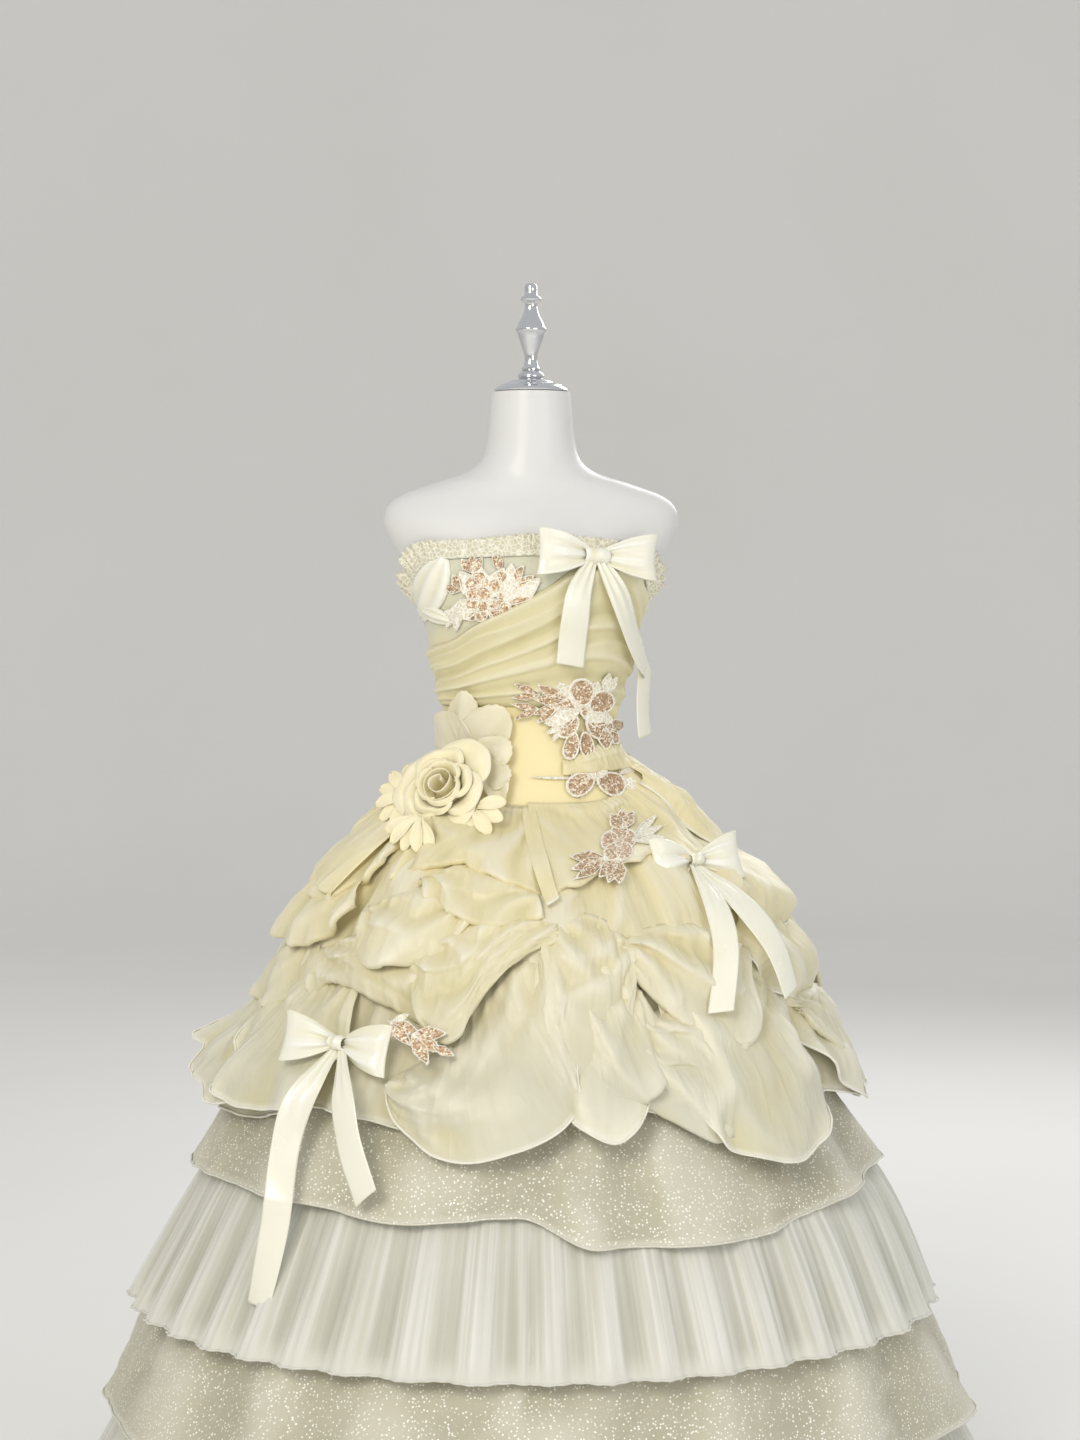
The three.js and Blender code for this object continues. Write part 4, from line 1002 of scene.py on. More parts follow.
@dataclass(frozen=True)
class Bodice:
    """Boned panels, a pleated chiffon drape across the front and a lace frill on the upper edge."""

    hip_edge: float = 960.0
    seam_angles: tuple[float, ...] = (-58, -26, 26, 58)
    drape_top: Table = (
        (-90, 1168), (-50, 1180), (-30, 1202), (-12, 1222), (8, 1250), (24, 1278), (48, 1282), (66, 1262),
        (90, 1226),
    )
    drape_bottom: float = 1094.0
    drape_reach: float = 92.0
    drape_size: tuple[float, float] = (330, 130)
    under_arm: float = 88.0
    drape_pleats: tuple[Crease, ...] = (
        Crease(((0.0, 0.1), (0.3, 0.04), (0.62, 0.05), (1.0, 0.06)), 4.2, 5, -0.6, (0, 0)),
        Crease(((0.0, 0.24), (0.28, 0.16), (0.5, 0.2), (0.7, 0.18)), 3.4, 4, -0.6, (0, 0.4)),
        Crease(((0.05, 0.42), (0.3, 0.36), (0.55, 0.3), (0.75, 0.26)), 3.6, 4.5, 0.5, (0.1, 0.4)),
        Crease(((0.0, 0.55), (0.2, 0.5), (0.4, 0.4), (0.62, 0.36), (1.0, 0.3)), -3.0, 7, 0.2, (0, 0.1)),
        Crease(((0.1, 0.62), (0.35, 0.53), (0.62, 0.46), (0.9, 0.44)), 4.2, 4, 0.6, (0.2, 0.2)),
        Crease(((0.3, 0.62), (0.55, 0.6), (0.8, 0.54), (1.0, 0.52)), 3.0, 4, -0.5, (0.3, 0.0)),
        Crease(((0.0, 0.78), (0.25, 0.72), (0.5, 0.66), (0.75, 0.66), (1.0, 0.7)), 4.4, 4.2, 0.6, (0, 0)),
        Crease(((0.1, 0.86), (0.4, 0.8), (0.7, 0.79), (1.0, 0.84)), -2.6, 6, 0.0, (0.1, 0)),
        Crease(((0.0, 0.9), (0.3, 0.88), (0.6, 0.86), (1.0, 0.92)), 3.8, 4, 0.5, (0, 0)),
        Crease(((0.72, 0.3), (0.84, 0.36), (0.94, 0.5), (1.0, 0.66)), 3.6, 5, 0.4, (0.2, 0)),
        Crease(((0.78, 0.12), (0.9, 0.22), (1.0, 0.38)), 3.6, 5, 0.4, (0.2, 0)),
        Crease(((0.0, 0.36), (0.12, 0.34), (0.26, 0.3)), 3.0, 4, 0.4, (0, 0.5)),
    )
    frill_height: float = 20.0

    def panel(self, name: str, low: float, high: float, node: str, seed: int) -> None:
        """One boned panel group between two angles, with its princess seams."""
        columns = max(24, int((high - low) / 2.2))
        u, v = square(52, columns)
        angle = mix(low, high, u)
        top = neckline(angle)
        z = mix(top, self.hip_edge, v)
        seams = np.zeros_like(u)
        for at in self.seam_angles:
            seams -= 0.9 * np.exp(-(((angle - at) / 1.1) ** 2))
        pull = 0.5 * drift(angle / 9, z / 26, seed)
        grid = body_point(angle, z, BODICE_OUT + seams + pull)
        # The fold value paints shade into the seam grooves, and faint shade and highlight where the cloth
        # pulls.
        fold = seams + 0.3 * pull
        cloth = Cloth(name, grid, BODICE_CLOTH, Held.STRETCHED, ("torso",), (node,), fold, wall=1.0)
        cloth.roll_hem(1.2).make()

    def drape(self) -> None:
        """The chiffon drape: slanting pleats that fan from the left side to the right bust."""
        u, v = square(70, 150)
        angle = mix(-self.drape_reach, self.drape_reach, u)
        top = column(self.drape_top, 1, angle)
        z = mix(top, self.drape_bottom, v)
        relief = sum(c.relief(u, v, *self.drape_size) for c in self.drape_pleats)
        relief = relief + 0.7 * drift(u * 9, v * 12 + u * 3, 5) + 0.5 * drift(u * 30, v * 9, 6)
        tuck = 2.2 * (ease(v / 0.03) + ease((1 - v) / 0.04) - 1)
        grid = body_point(angle, z, BODICE_OUT + 1.6 + tuck + relief)
        cloth = Cloth(
            "chiffon_drape", grid, CHIFFON, Held.GATHERED, ("bodice_panel_front",), ("bodice_drape",),
            relief / 4, wall=0.8
        )
        cloth.make()

    def frill(self) -> None:
        """The lace frill, gathered on at the upper edge. It curls over where it dips under the arms."""
        u, v = square(10, 900)
        angle = mix(0.0, 360.0, u)
        turn = np.radians(angle)
        dip = np.exp(-(((np.abs(wrapped(angle)) - self.under_arm) / 15) ** 2))
        gather = np.sin(58 * turn + 2.2 * np.sin(7 * turn) + 1.4 * np.sin(17 * turn))
        scallop = np.abs(np.sin(66 * turn + np.sin(5 * turn)))
        height = self.frill_height * (0.9 + 0.12 * np.sin(5 * turn + 1)) + 2.4 * scallop * (1 - v)
        z = neckline(angle) - 7 + (height + 7) * (1 - v)
        rise = 1 - v
        lean = 4 * rise + (2.2 + 3.4 * dip) * rise * gather + 9 * dip * rise**2
        lean = lean + 1.6 * drift(angle / 3, v * 2, 3) * rise
        grid = body_point(angle, z, BODICE_OUT + 3.2 + lean)
        Cloth(
            "lace_frill", grid, LACE, Held.GATHERED, ("bodice_panel_front",), ("neck_frill",),
            gather * rise * 0.7,
            closed=True, wall=0.8,
        ).make()

    def bust_leaves(self) -> None:
        """Folded satin leaves at the left bust."""
        leaves = (
            ("bust_leaf_large", (-146, 1206), (-112, 1292), 24, 6.0),
            ("bust_leaf_small", (-100, 1204), (-142, 1222), 10, 8.0),
        )
        for name, foot, tip, half, lift in leaves:
            u, v = square(30, 26)
            foot_at, run, side = along_line(foot, tip)
            width = half * np.sin(math.pi * np.clip(0.06 + 0.9 * v, 0, 1)) ** 0.7
            x = foot_at[0] + run[0] * v + side[0] * width * (2 * u - 1)
            z = foot_at[1] + run[1] * v + side[1] * width * (2 * u - 1)
            ridges = 1.8 * np.cos(5 * math.pi * (u - 0.5) + v) * np.sin(math.pi * v)
            out = lift * (1 - (2 * u - 1) ** 2) * np.sin(math.pi * v) ** 0.5 + 1.5 + ridges
            grid = front_point(x, z, BODICE_OUT + out, body_point)
            Cloth(name, grid, SATIN, Held.FOLDED, ("bodice_panel_front",), (), ridges / 3, wall=0.6).make()

    def build(self) -> None:
        """Makes the bodice."""
        self.panel("bodice_panel_front", -SEAM_FRONT, SEAM_FRONT, "bodice_front", 1)
        self.panel("bodice_panel_back_left", -ZIP_EDGE, -SEAM_BACK, "bodice_back_left", 2)
        self.panel("bodice_panel_back_right", SEAM_BACK, ZIP_EDGE, "bodice_back_right", 3)
        self.drape()
        self.frill()
        self.bust_leaves()


# ---------------------------------------------------------------- tiers


@dataclass(frozen=True)
class Tier:
    """One gathered tier. rows hold height, distance off the petticoat and extra swing on the right."""

    name: str
    node: str
    finish: Finish
    rows: Table
    bounce: float
    waves: int
    pleats: int
    columns: int
    steps: int
    seed: int
    hem_drop: Table = ((-180, 0), (180, 0))

    def build(self) -> None:
        """Makes the tier as one ring of cloth."""
        u, v = square(self.steps, self.columns + 1)
        angle = mix(0.0, 360.0, u)
        turn = np.radians(angle)
        table = [(r[0], r[1], r[2]) for r in self.rows]
        top, hem = max(r[0] for r in table), min(r[0] for r in table)
        drop = column(self.hem_drop, 1, wrapped(angle))
        level = mix(top, hem, v)
        z = level - drop * v**2
        off = column(table, 1, level) + column(table, 2, level) * np.maximum(0, np.sin(turn)) ** 2
        uneven = drift(u * 14, v * 0.6 + 3, self.seed) * 2.2 + 1.3 * np.sin(2 * turn)
        wide = np.sin(self.waves * turn + uneven)
        wide = np.sign(wide) * np.abs(wide) ** 0.8
        relief = self.bounce * ease(v * 1.15) * wide
        relief = relief + self.bounce * 0.5 * drift(u * 46, v * 1.6, self.seed + 1) * ease(v * 1.5)
        if self.pleats:
            fine = np.sin(self.pleats * turn + 2.6 * drift(u * 40, v * 0.8, self.seed + 2))
            relief = relief + (0.5 + 1.1 * v) * fine
        else:
            relief = relief + 4.5 * crumple(u * 46 + v, v * 3.6, self.seed + 3) * ease(v * 2)
        lead = 0.8
        grid = petticoat_point(angle, z, off + relief + lead)
        # The fold value sets painted shade in the hollows and a painted highlight on the ridges.
        fold = relief / (self.bounce + 1.5)
        cloth = Cloth(
            self.name, grid, self.finish, Held.GATHERED, ("petticoat_net",), (self.node,), fold, closed=True,
            wall=0.6
        )
        cloth.grid[:, -1] = cloth.grid[:, 0]
        cloth.roll_hem(1.0, 4).make()


@dataclass(frozen=True)
class Skirt:
    """The net petticoat and the four tiers that it carries."""

    glitter_hem: Table = (
        (-180, 10), (-130, -12), (-90, -18), (-40, -16), (-22, -4), (-2, -14), (10, 20), (34, 22), (50, 6),
        (80, -20),
        (130, 12), (180, 10),
    )

    def tiers(self) -> tuple[Tier, ...]:
        """The tiers from the top down."""
        return (
            Tier(
                "glitter_tulle_upper", "glitter_tier_upper", GLITTER,
                ((760, 2.2, 0), (640, 12, 2), (480, 36, 15)), 7, 13, 0, 320, 38, 11, self.glitter_hem,
            ),
            Tier(
                "crinkled_tulle_upper", "pleated_tier_upper", PLEATED,
                ((560, 2.2, 0), (465, 23, 25), (316, 49, 6)), 6, 41, 190, 940, 12, 21,
            ),
            Tier(
                "glitter_tulle_lower", "glitter_tier_lower", GLITTER,
                ((420, 2.2, 0), (316, 17, 20), (178, 33, 18)), 8, 15, 0, 330, 32, 31,
            ),
            Tier(
                "crinkled_tulle_lower", "pleated_tier_lower", PLEATED,
                ((250, 2.2, 0), (160, 11, 16), (8, 35, 16)), 6, 45, 200, 980, 12, 41,
            ),
        )

    def build(self) -> None:
        """Makes the petticoat and the tiers."""
        u, v = square(26, 121)
        angle, z = mix(0.0, 360.0, u), mix(PETTICOAT[0][0], PETTICOAT[-1][0], v)
        grid = petticoat_point(angle, z, 0.6 * drift(angle / 6, z / 60, 7))
        cloth = Cloth(
            "petticoat_net", grid, PETTICOAT_NET, Held.HUNG, ("torso",), ("petticoat",), closed=True, wall=1.0
        )
        cloth.grid[:, -1] = cloth.grid[:, 0]
        cloth.make()
        for tier in self.tiers():
            tier.build()


# ---------------------------------------------------------------- organza


@dataclass(frozen=True)
class Flounce:
    """A piece of organza laid over the skirt from an upper line to a rolled hem.

    Each point of the two lines is an angle, a height and a distance off the skirt. belly is how
    far the middle stands off, flutes how many folds run down it, and flute how deep they are. fan
    is the depth of the folds that spread from the two upper corners, where it is picked up, and
    gather that of the small ones along its upper line. A tuck above 0 turns the lower edge under
    with that radius, in place of the rolled hem.
    """

    name: str
    top: Table
    hem: Table
    belly: float = 8.0
    flutes: float = 2.5
    flute: float = 4.0
    creases: tuple[Crease, ...] = ()
    nodes: tuple[str, ...] = ()
    seed: int = 0
    rows: int = 28
    columns: int = 52
    spring: float = 1.0
    full: float = 0.9
    crush: float = 4.6
    ruffle: float = 5.0
    slant: float = 0.35
    fan: float = 4.5
    gather: float = 1.6
    tuck: float = 0.0
    finish: Finish = ORGANZA

    def fans(self, u: Array, v: Array, across: float, down: float) -> Array:
        """Folds that spread from the upper corners, in millimetres."""
        total = np.zeros_like(u)
        for corner, count in ((-0.04, 13), (1.04, 11)):
            s, t = np.abs(u - corner) * across, (v + 0.05) * down
            turn, reach = np.arctan2(t, s), np.hypot(s, t) / math.hypot(across, down)
            wave = np.sin(count * turn + 1.8 * drift(4 * reach, 3 * turn, self.seed + 12))
            total += self.fan * np.sign(wave) * np.abs(wave) ** 1.4 * np.exp(-(((reach - 0.3) / 0.26) ** 2))
        return total

    def build(self) -> None:
        """Makes the flounce."""
        u, v = square(self.rows, self.columns)
        share = np.linspace(0, 1, self.columns)
        weights = (5.0, 1.0, 1.0)
        top, hem = spline(self.top, share, weights), spline(self.hem, share, weights)
        angle = mix(top[:, 0], hem[:, 0], v)
        z = mix(top[:, 1], hem[:, 1], v)
        off = mix(top[:, 2], hem[:, 2], v**self.spring)
        off = off + self.belly * np.sin(math.pi * v**self.full) * (1 - 0.5 * np.abs(2 * u - 1) ** 3)
        across = float(np.ptp(hem[:, 0]) * 5.5)
        down = float(np.hypot((hem - top)[:, 1], (hem - top)[:, 0] * 5.5).max())
        phase = 1.7 * drift(u * 3, v * 1.2, self.seed) + self.seed
        relief = self.flute * v**1.2 * np.sin(self.flutes * TAU * u + phase)
        slant = self.slant if self.seed % 2 else -self.slant
        s, t = (u * across + slant * v * down) / 46, v * down / 105
        relief = relief + self.crush * crumple(s, t, self.seed + 1) * (0.6 + 0.4 * ease(v / 0.5))
        relief = relief + self.gather * np.exp(-((v / 0.3) ** 2)) * np.sin(
            TAU * across / 17 * u + 2.5 * drift(5 * u, 2 * v, self.seed)
        )
        relief = relief + 0.4 * drift(u * across / 12, v * down / 19, self.seed + 9)
        edge = ease((v - 0.62) / 0.38)
        relief = relief + self.ruffle * edge * drift(u * across / 20, v, self.seed + 10)
        z = z + 0.9 * self.ruffle * edge * drift(u * across / 27, v, self.seed + 11)
        relief = relief + self.fans(u, v, across, down)
        for crease in self.creases:
            relief = relief + crease.relief(u, v, across, down)
        rise = 0.15 + 0.85 * ease(v / 0.12)
        grid = skirt_point(angle, z, np.maximum((off + relief) * rise, 1.2))
        # The fold value sets painted shade in the hollows and a painted highlight on the ridges.
        fold = np.clip(1.1 * relief / (self.flute + self.crush), -1, 1)
        cloth = Cloth(self.name, grid, self.finish, Held.DRAPED, ("organza_overskirt",), self.nodes, fold)
        cloth = cloth.roll_hem(self.tuck, 7, True) if self.tuck else cloth.roll_hem()
        cloth.make()

    def moved(self, name: str, turn: float, flip: bool, seed: int, lift: float = 0.0) -> "Flounce":
        """A like piece further round the skirt, for the sides that hang out of sight."""
        sign = -1 if flip else 1

        def line(points: Table) -> Table:
            """The line turned, flipped and raised."""
            placed = [(turn + sign * a, z + lift, off) for a, z, off in points]
            return tuple(reversed(placed)) if flip else tuple(placed)

        return replace(
            self, name=name, top=line(self.top), hem=line(self.hem), seed=seed, nodes=(), creases=(), rows=22,
            columns=44
        )


def scallop(
    name: str, angle: float, spread: float, top: float, hem: float, lift: float, seed: int,
    flare: float = 1.0,
    tucked: bool = False, folded: bool = False,
) -> Flounce:
    """A flounce with one round hem between two corners.

    Args:
        name: The node that it stands for.
        angle: The middle of it.
        spread: Half of its width, in degrees.
        top: Height of its upper line.
        hem: Height of the lowest point of its hem.
        lift: How far its hem stands off the skirt.
        seed: Which unevenness it gets.
        flare: Above 1 it lies close for longer and then springs out.
        tucked: Whether its hem is caught up under it, as a puff's is.
        folded: Whether its lower edge is a soft fold and not a rolled hem.

    Returns:
        The flounce.
    """
    rng = np.random.default_rng(seed)
    upper, lower = [], []
    for share in np.linspace(-1, 1, 7):
        at = angle + spread * 0.74 * share
        upper.append((at, min(top, float(skirt_top(np.array(at))) - 5) + rng.uniform(-4, 4), 3.0))
        corner = (0.75 if tucked else 0.5) * abs(share) ** 3.4
        height = hem + (top - hem) * corner + rng.uniform(-7, 7) * (1 - abs(share))
        height += 0 if tucked else 7 * math.sin(5.5 * share + seed)
        stand = 7.0 if tucked else (lift * 0.93 + 2.3) * (1 - 0.4 * share**4)
        lower.append((angle + spread * share, height, stand))
    across = 2 * spread
    return Flounce(
        f"organza_{name}", tuple(upper), tuple(lower), belly=lift * (1.15 if tucked else 0.42 / flare),
        flutes=across / 13, flute=6.0, creases=scattered(seed + 50, max(3, int(across / 9)), 5.5, 8),
        nodes=(name,),
        seed=seed, columns=54, spring=1.1 * flare, full=1.5 if tucked else 0.9, ruffle=2.5 if tucked else 7.0,
        tuck=5.0 if folded else 0.0,
    )


FRONT: tuple[Flounce, ...] = (
    Flounce(
        "organza_lobe_centre",
        ((-25, 652, 8), (-17, 690, 9), (-12, 742, 9), (-5, 790, 8), (4, 806, 8)),
        (
            (-26, 636, 12), (-23.4, 606, 22), (-19.5, 585, 27), (-14.6, 564, 31), (-9.3, 556, 33),
            (-2.6, 570, 31),
            (4.6, 594, 27), (7.6, 622, 20), (8, 680, 12),
        ),
        belly=13, flutes=2.2, flute=5.0, nodes=("lobe_front_left",), seed=1, rows=44, columns=90, full=1.5,
        creases=(
            Crease(((0.35, 0.1), (0.3, 0.4), (0.36, 0.7)), 6, 13, 0.4),
            Crease(((0.62, 0.05), (0.66, 0.35), (0.6, 0.6)), -4.5, 11, 0.3),
            Crease(((0.75, 0.1), (0.8, 0.5), (0.84, 0.9)), 5, 8, -0.4, (0.2, 0.1)),
            Crease(((0.15, 0.3), (0.2, 0.6), (0.27, 0.95)), 3.5, 9, 0.3, (0.3, 0.1)),
        ),
    ),
    Flounce(
        "organza_lobe_mid",
        ((4, 800, 7), (10, 812, 7), (17, 806, 7), (24, 770, 7)),
        (
            (4.5, 660, 10), (6, 612, 18), (8.2, 596, 21), (12.9, 581, 24), (16.4, 594, 23), (19.5, 620, 18),
            (22, 660, 12),
        ),
        belly=7, flutes=1.6, flute=4, nodes=("lobe_front_mid",), seed=2,
        creases=(
            Crease(((0.3, 0.2), (0.36, 0.6), (0.33, 1.0)), 4.5, 8, 0.5, (0.3, 0)),
            Crease(((0.7, 0.3), (0.62, 0.6), (0.68, 0.95)), -4, 9, 0.2),
        ),
    ),
    Flounce(
        "organza_fold_mid",
        ((17, 716, 8), (24, 726, 9), (32, 712, 9)),
        ((17.5, 660, 10), (19.5, 622, 16), (24.4, 598, 20), (30.5, 577, 24), (35.1, 592, 22), (38, 640, 14)),
        belly=7, flutes=1.4, flute=3, tuck=4.0, seed=3,
        creases=(Crease(((0.2, 0.2), (0.45, 0.6), (0.7, 1.0)), 5, 7, 0.5, (0.2, 0)),),
    ),
    Flounce(
        "organza_lobe_right",
        ((26, 776, 8), (38, 790, 9), (50, 784, 9), (60, 744, 9)),
        (
            (28, 640, 12), (30, 592, 22), (32.7, 566, 28), (40.3, 544, 31), (45.7, 544, 31), (50.4, 562, 29),
            (57, 588, 24), (62, 622, 16),
        ),
        belly=12, flutes=2.2, flute=5.5, nodes=("lobe_front_right",), seed=4, rows=42, columns=80, full=1.3,
        creases=(
            Crease(((0.15, 0.2), (0.3, 0.55), (0.22, 0.9)), 5, 9, 0.4),
            Crease(((0.85, 0.15), (0.6, 0.45), (0.5, 0.8)), -4.5, 10, 0.3),
            Crease(((0.95, 0.3), (0.8, 0.5), (0.72, 0.75)), 5, 8, -0.4),
        ),
    ),
    Flounce(
        "organza_wave",
        ((8, 752, 11), (15, 764, 12), (23, 756, 12)),
        ((9.5, 690, 15), (11.5, 654, 23), (14.5, 634, 28), (18, 626, 29), (21.5, 634, 27), (25, 660, 22),
        (27, 706, 14)),
        belly=7, flutes=1.6, flute=4.5, tuck=4.0, seed=5,
        creases=(
            Crease(((0.15, 0.05), (0.3, 0.45), (0.5, 1.0)), 6, 7, 0.6, (0.2, 0)),
            Crease(((0.95, 0.1), (0.75, 0.5), (0.62, 1.0)), 5.5, 7, -0.6, (0.2, 0)),
        ),
    ),
    Flounce(
        "organza_swag_centre",
        ((3, 832, 8), (10, 846, 8), (18, 836, 8), (25, 800, 8)),
        (
            (1.5, 780, 12), (2.5, 730, 19), (4.2, 696, 24), (5.2, 674, 26), (8.5, 662, 26), (13.2, 652, 24),
            (17.5, 672, 21), (20, 720, 17), (23, 770, 12),
        ),
        flutes=1.5, flute=3.5, tuck=6.0, seed=6, rows=40, columns=76,
        creases=(
            Crease(((0.98, 0.1), (0.7, 0.25), (0.4, 0.5), (0.25, 0.85)), 8, 7, 0.6, (0.05, 0.1)),
            Crease(((0.95, 0.25), (0.75, 0.45), (0.6, 0.75)), -5, 9, 0.2),
            Crease(((0.1, 0.2), (0.3, 0.3), (0.5, 0.24)), 5, 6, 0.4),
            Crease(((0.1, 0.4), (0.25, 0.55), (0.3, 0.8)), 5, 7, -0.4),
        ),
    ),
    Flounce(
        "organza_swag_right",
        ((20, 806, 9), (30, 826, 9), (42, 826, 9), (54, 796, 9)),
        (
            (20.5, 790, 12), (22.6, 764, 17), (26, 742, 21), (31.2, 715, 25), (35.7, 698, 27), (41, 688, 27),
            (46, 702, 23), (50, 740, 18), (54, 776, 12),
        ),
        flutes=1.6, flute=3.5, tuck=6.0, seed=7, rows=38, columns=76,
        creases=(
            Crease(((0.06, 0.05), (0.3, 0.35), (0.6, 0.6), (0.8, 0.72)), 7, 7, 0.6, (0.05, 0.3)),
            Crease(((0.3, 0.05), (0.5, 0.3), (0.75, 0.45)), -5, 8, 0.2),
            Crease(((0.45, 0.0), (0.48, 0.3), (0.44, 0.6)), 3.5, 5, 0.2, (0, 0.4)),
            Crease(((0.58, 0.0), (0.62, 0.3), (0.6, 0.6)), 3.5, 5, -0.2, (0, 0.4)),
        ),
    ),
    Flounce(
        "organza_leaf_right",
        ((22, 716, 17), (30, 730, 18), (38, 722, 18), (45, 706, 17)),
        ((22, 690, 18), (23.6, 670, 24), (28.4, 668, 27), (32, 656, 29), (34.7, 636, 31), (38, 656, 29),
        (42.7, 682, 24), (45, 700, 18)),
        belly=5, flutes=1.0, flute=3, tuck=5.0, seed=8,
        creases=(
            Crease(((0.05, 0.3), (0.3, 0.4), (0.55, 0.3)), 6, 6, 0.5, (0, 0.2)),
            Crease(((0.4, 0.2), (0.5, 0.6), (0.55, 1.0)), 4.5, 6, -0.5, (0.2, 0)),
        ),
    ),
    Flounce(
        "organza_swag_low_left",
        ((-58, 792, 10), (-46, 812, 11), (-32, 812, 11), (-21, 800, 10)),
        (
            (-58, 752, 14), (-55.3, 738, 20), (-49, 752, 22), (-43.2, 760, 24), (-38, 752, 24),
            (-32.9, 744, 25),
            (-27.2, 731, 26), (-22, 718, 26), (-17, 716, 22), (-14, 740, 14),
        ),
        belly=7, flutes=1.8, flute=3.5, tuck=6.0, seed=9, columns=84,
        creases=(
            Crease(((0.1, 0.4), (0.3, 0.5), (0.5, 0.35), (0.7, 0.4)), 5, 7, 0.5),
            Crease(((0.3, 0.8), (0.5, 0.7), (0.8, 0.85)), -4, 7, 0.3),
        ),
    ),
    Flounce(
        "organza_leaf_left",
        ((-25, 806, 17), (-15, 838, 19), (-4, 846, 17), (6, 836, 13)),
        (
            (-26, 796, 22), (-25.4, 772, 31), (-23.7, 746, 36), (-20.9, 718, 40), (-18.4, 704, 41),
            (-15.4, 694, 42),
            (-12.6, 704, 40), (-10.6, 736, 34), (-7.6, 762, 29), (-4.5, 783, 25), (0.5, 802, 20),
            (6, 820, 14),
        ),
        belly=6, flutes=1.2, flute=3, tuck=3.5, seed=10, rows=44, columns=90,
        creases=(
            Crease(((0.05, 0.7), (0.2, 0.55), (0.36, 0.4), (0.55, 0.2)), 7, 8, 0.5, (0.1, 0.2)),
            Crease(((0.2, 0.9), (0.36, 0.65), (0.6, 0.4), (0.8, 0.3)), -5, 9, 0.2, (0.1, 0.3)),
            Crease(((0.34, 0.98), (0.45, 0.7), (0.62, 0.6)), 5, 7, 0.5, (0, 0.3)),
            Crease(((0.02, 0.3), (0.2, 0.22), (0.4, 0.12)), 4, 6, 0.4),
        ),
    ),
    Flounce(
        "organza_swag_left",
        ((-44, 846, 16), (-32, 872, 16), (-20, 872, 15), (-12, 852, 14)),
        (
            (-45, 834, 18), (-43, 814, 26), (-40, 797, 31), (-36, 787, 34), (-33, 785, 34), (-29.7, 787, 33),
            (-26, 784, 33), (-22.5, 790, 30), (-18, 812, 25), (-13, 838, 18),
        ),
        belly=6, flutes=1.4, flute=3, tuck=6.0, seed=11, columns=84,
        creases=(
            Crease(((0.1, 0.6), (0.35, 0.5), (0.6, 0.62)), 5.5, 7, 0.5),
            Crease(((0.3, 0.1), (0.5, 0.4), (0.52, 0.7)), -4, 8, 0.3),
        ),
    ),
    Flounce(
        "organza_tip_left",
        ((-29, 884, 20), (-21, 900, 20), (-10, 890, 19), (2, 868, 15)),
        ((-29.4, 880, 20), (-25.5, 871, 27), (-22.7, 864, 30), (-16.1, 846, 31), (-12, 838, 30),
        (-5, 838, 25), (3, 846, 18)),
        belly=4, flutes=1.0, flute=2, tuck=5.0, seed=12, rows=24,
        creases=(Crease(((0.1, 0.5), (0.4, 0.5), (0.7, 0.4)), 4, 6, 0.4),),
    ),
    Flounce(
        "organza_hip_left",
        ((-40, 966, 8), (-24, 972, 9), (-10, 966, 9), (1, 964, 8)),
        (
            (-40, 886, 14), (-30, 900, 18), (-19.7, 906, 20), (-14.2, 898, 21), (-9.1, 890, 21),
            (-3.9, 881, 21),
            (0.8, 872, 20), (4, 862, 17),
        ),
        belly=5, flutes=1.6, flute=2.2, tuck=5.0, seed=13,
        creases=(
            Crease(((0.95, 0.1), (0.7, 0.5), (0.4, 0.8)), 4, 7, 0.4),
            Crease(((0.6, 0.1), (0.5, 0.5), (0.3, 0.7)), -3.5, 8, 0.3),
        ),
    ),
    Flounce(
        "organza_panel_front",
        ((-1.5, 971, 7), (15, 970, 7), (35, 972, 7), (50, 980, 7), (62, 989, 8)),
        (
            (3, 866, 14), (6.3, 873, 19), (9.1, 882, 21), (15.9, 889, 22), (23.8, 901, 22), (29.9, 909, 21),
            (36.6, 914, 20), (46, 912, 18), (60, 896, 15),
        ),
        belly=4, flutes=1.3, flute=1.6, fan=1.4, gather=0.5, crush=2.6, tuck=4.0, seed=14, rows=30,
        columns=90,
        creases=(
            Crease(((0.4, 0.95), (0.6, 0.6), (0.85, 0.3)), 3, 8, 0.3),
            Crease(((0.55, 0.2), (0.75, 0.15), (0.95, 0.2)), 2.5, 6, 0.3),
        ),
    ),
    Flounce(
        "organza_waist_fold",
        ((19, 1024, 1.6), (34, 1037, 2), (52, 1046, 2), (74, 1046, 2)),
        ((18, 1008, 4), (32, 1010, 6), (46, 1012, 7), (62, 1012, 7), (80, 1020, 6)),
        belly=4, flutes=0.6, flute=0.8, fan=0.6, tuck=2.0, crush=2.5, ruffle=1.0, seed=16, rows=18,
        columns=60,
        creases=(Crease(((0.05, 0.5), (0.4, 0.45), (0.9, 0.4)), 2.2, 4, 0.5),),
    ),
    Flounce(
        "organza_strip_left",
        ((-66, 968, 10), (-56, 962, 12), (-48, 952, 14)),
        ((-74, 886, 34), (-66, 868, 38), (-58, 858, 36)),
        belly=6, flutes=0.8, flute=2.5, fan=1.0, tuck=4.0, crush=3.0, ruffle=2.0, seed=17, rows=30,
        columns=30,
    ),
    Flounce(
        "organza_band_front",
        ((-4.2, 966, 12), (2.4, 968, 12)),
        ((3.6, 858, 26), (6.6, 864, 26)),
        belly=2, flutes=0.5, flute=0.8, fan=0.0, seed=15, rows=30, columns=14,
    ),
)

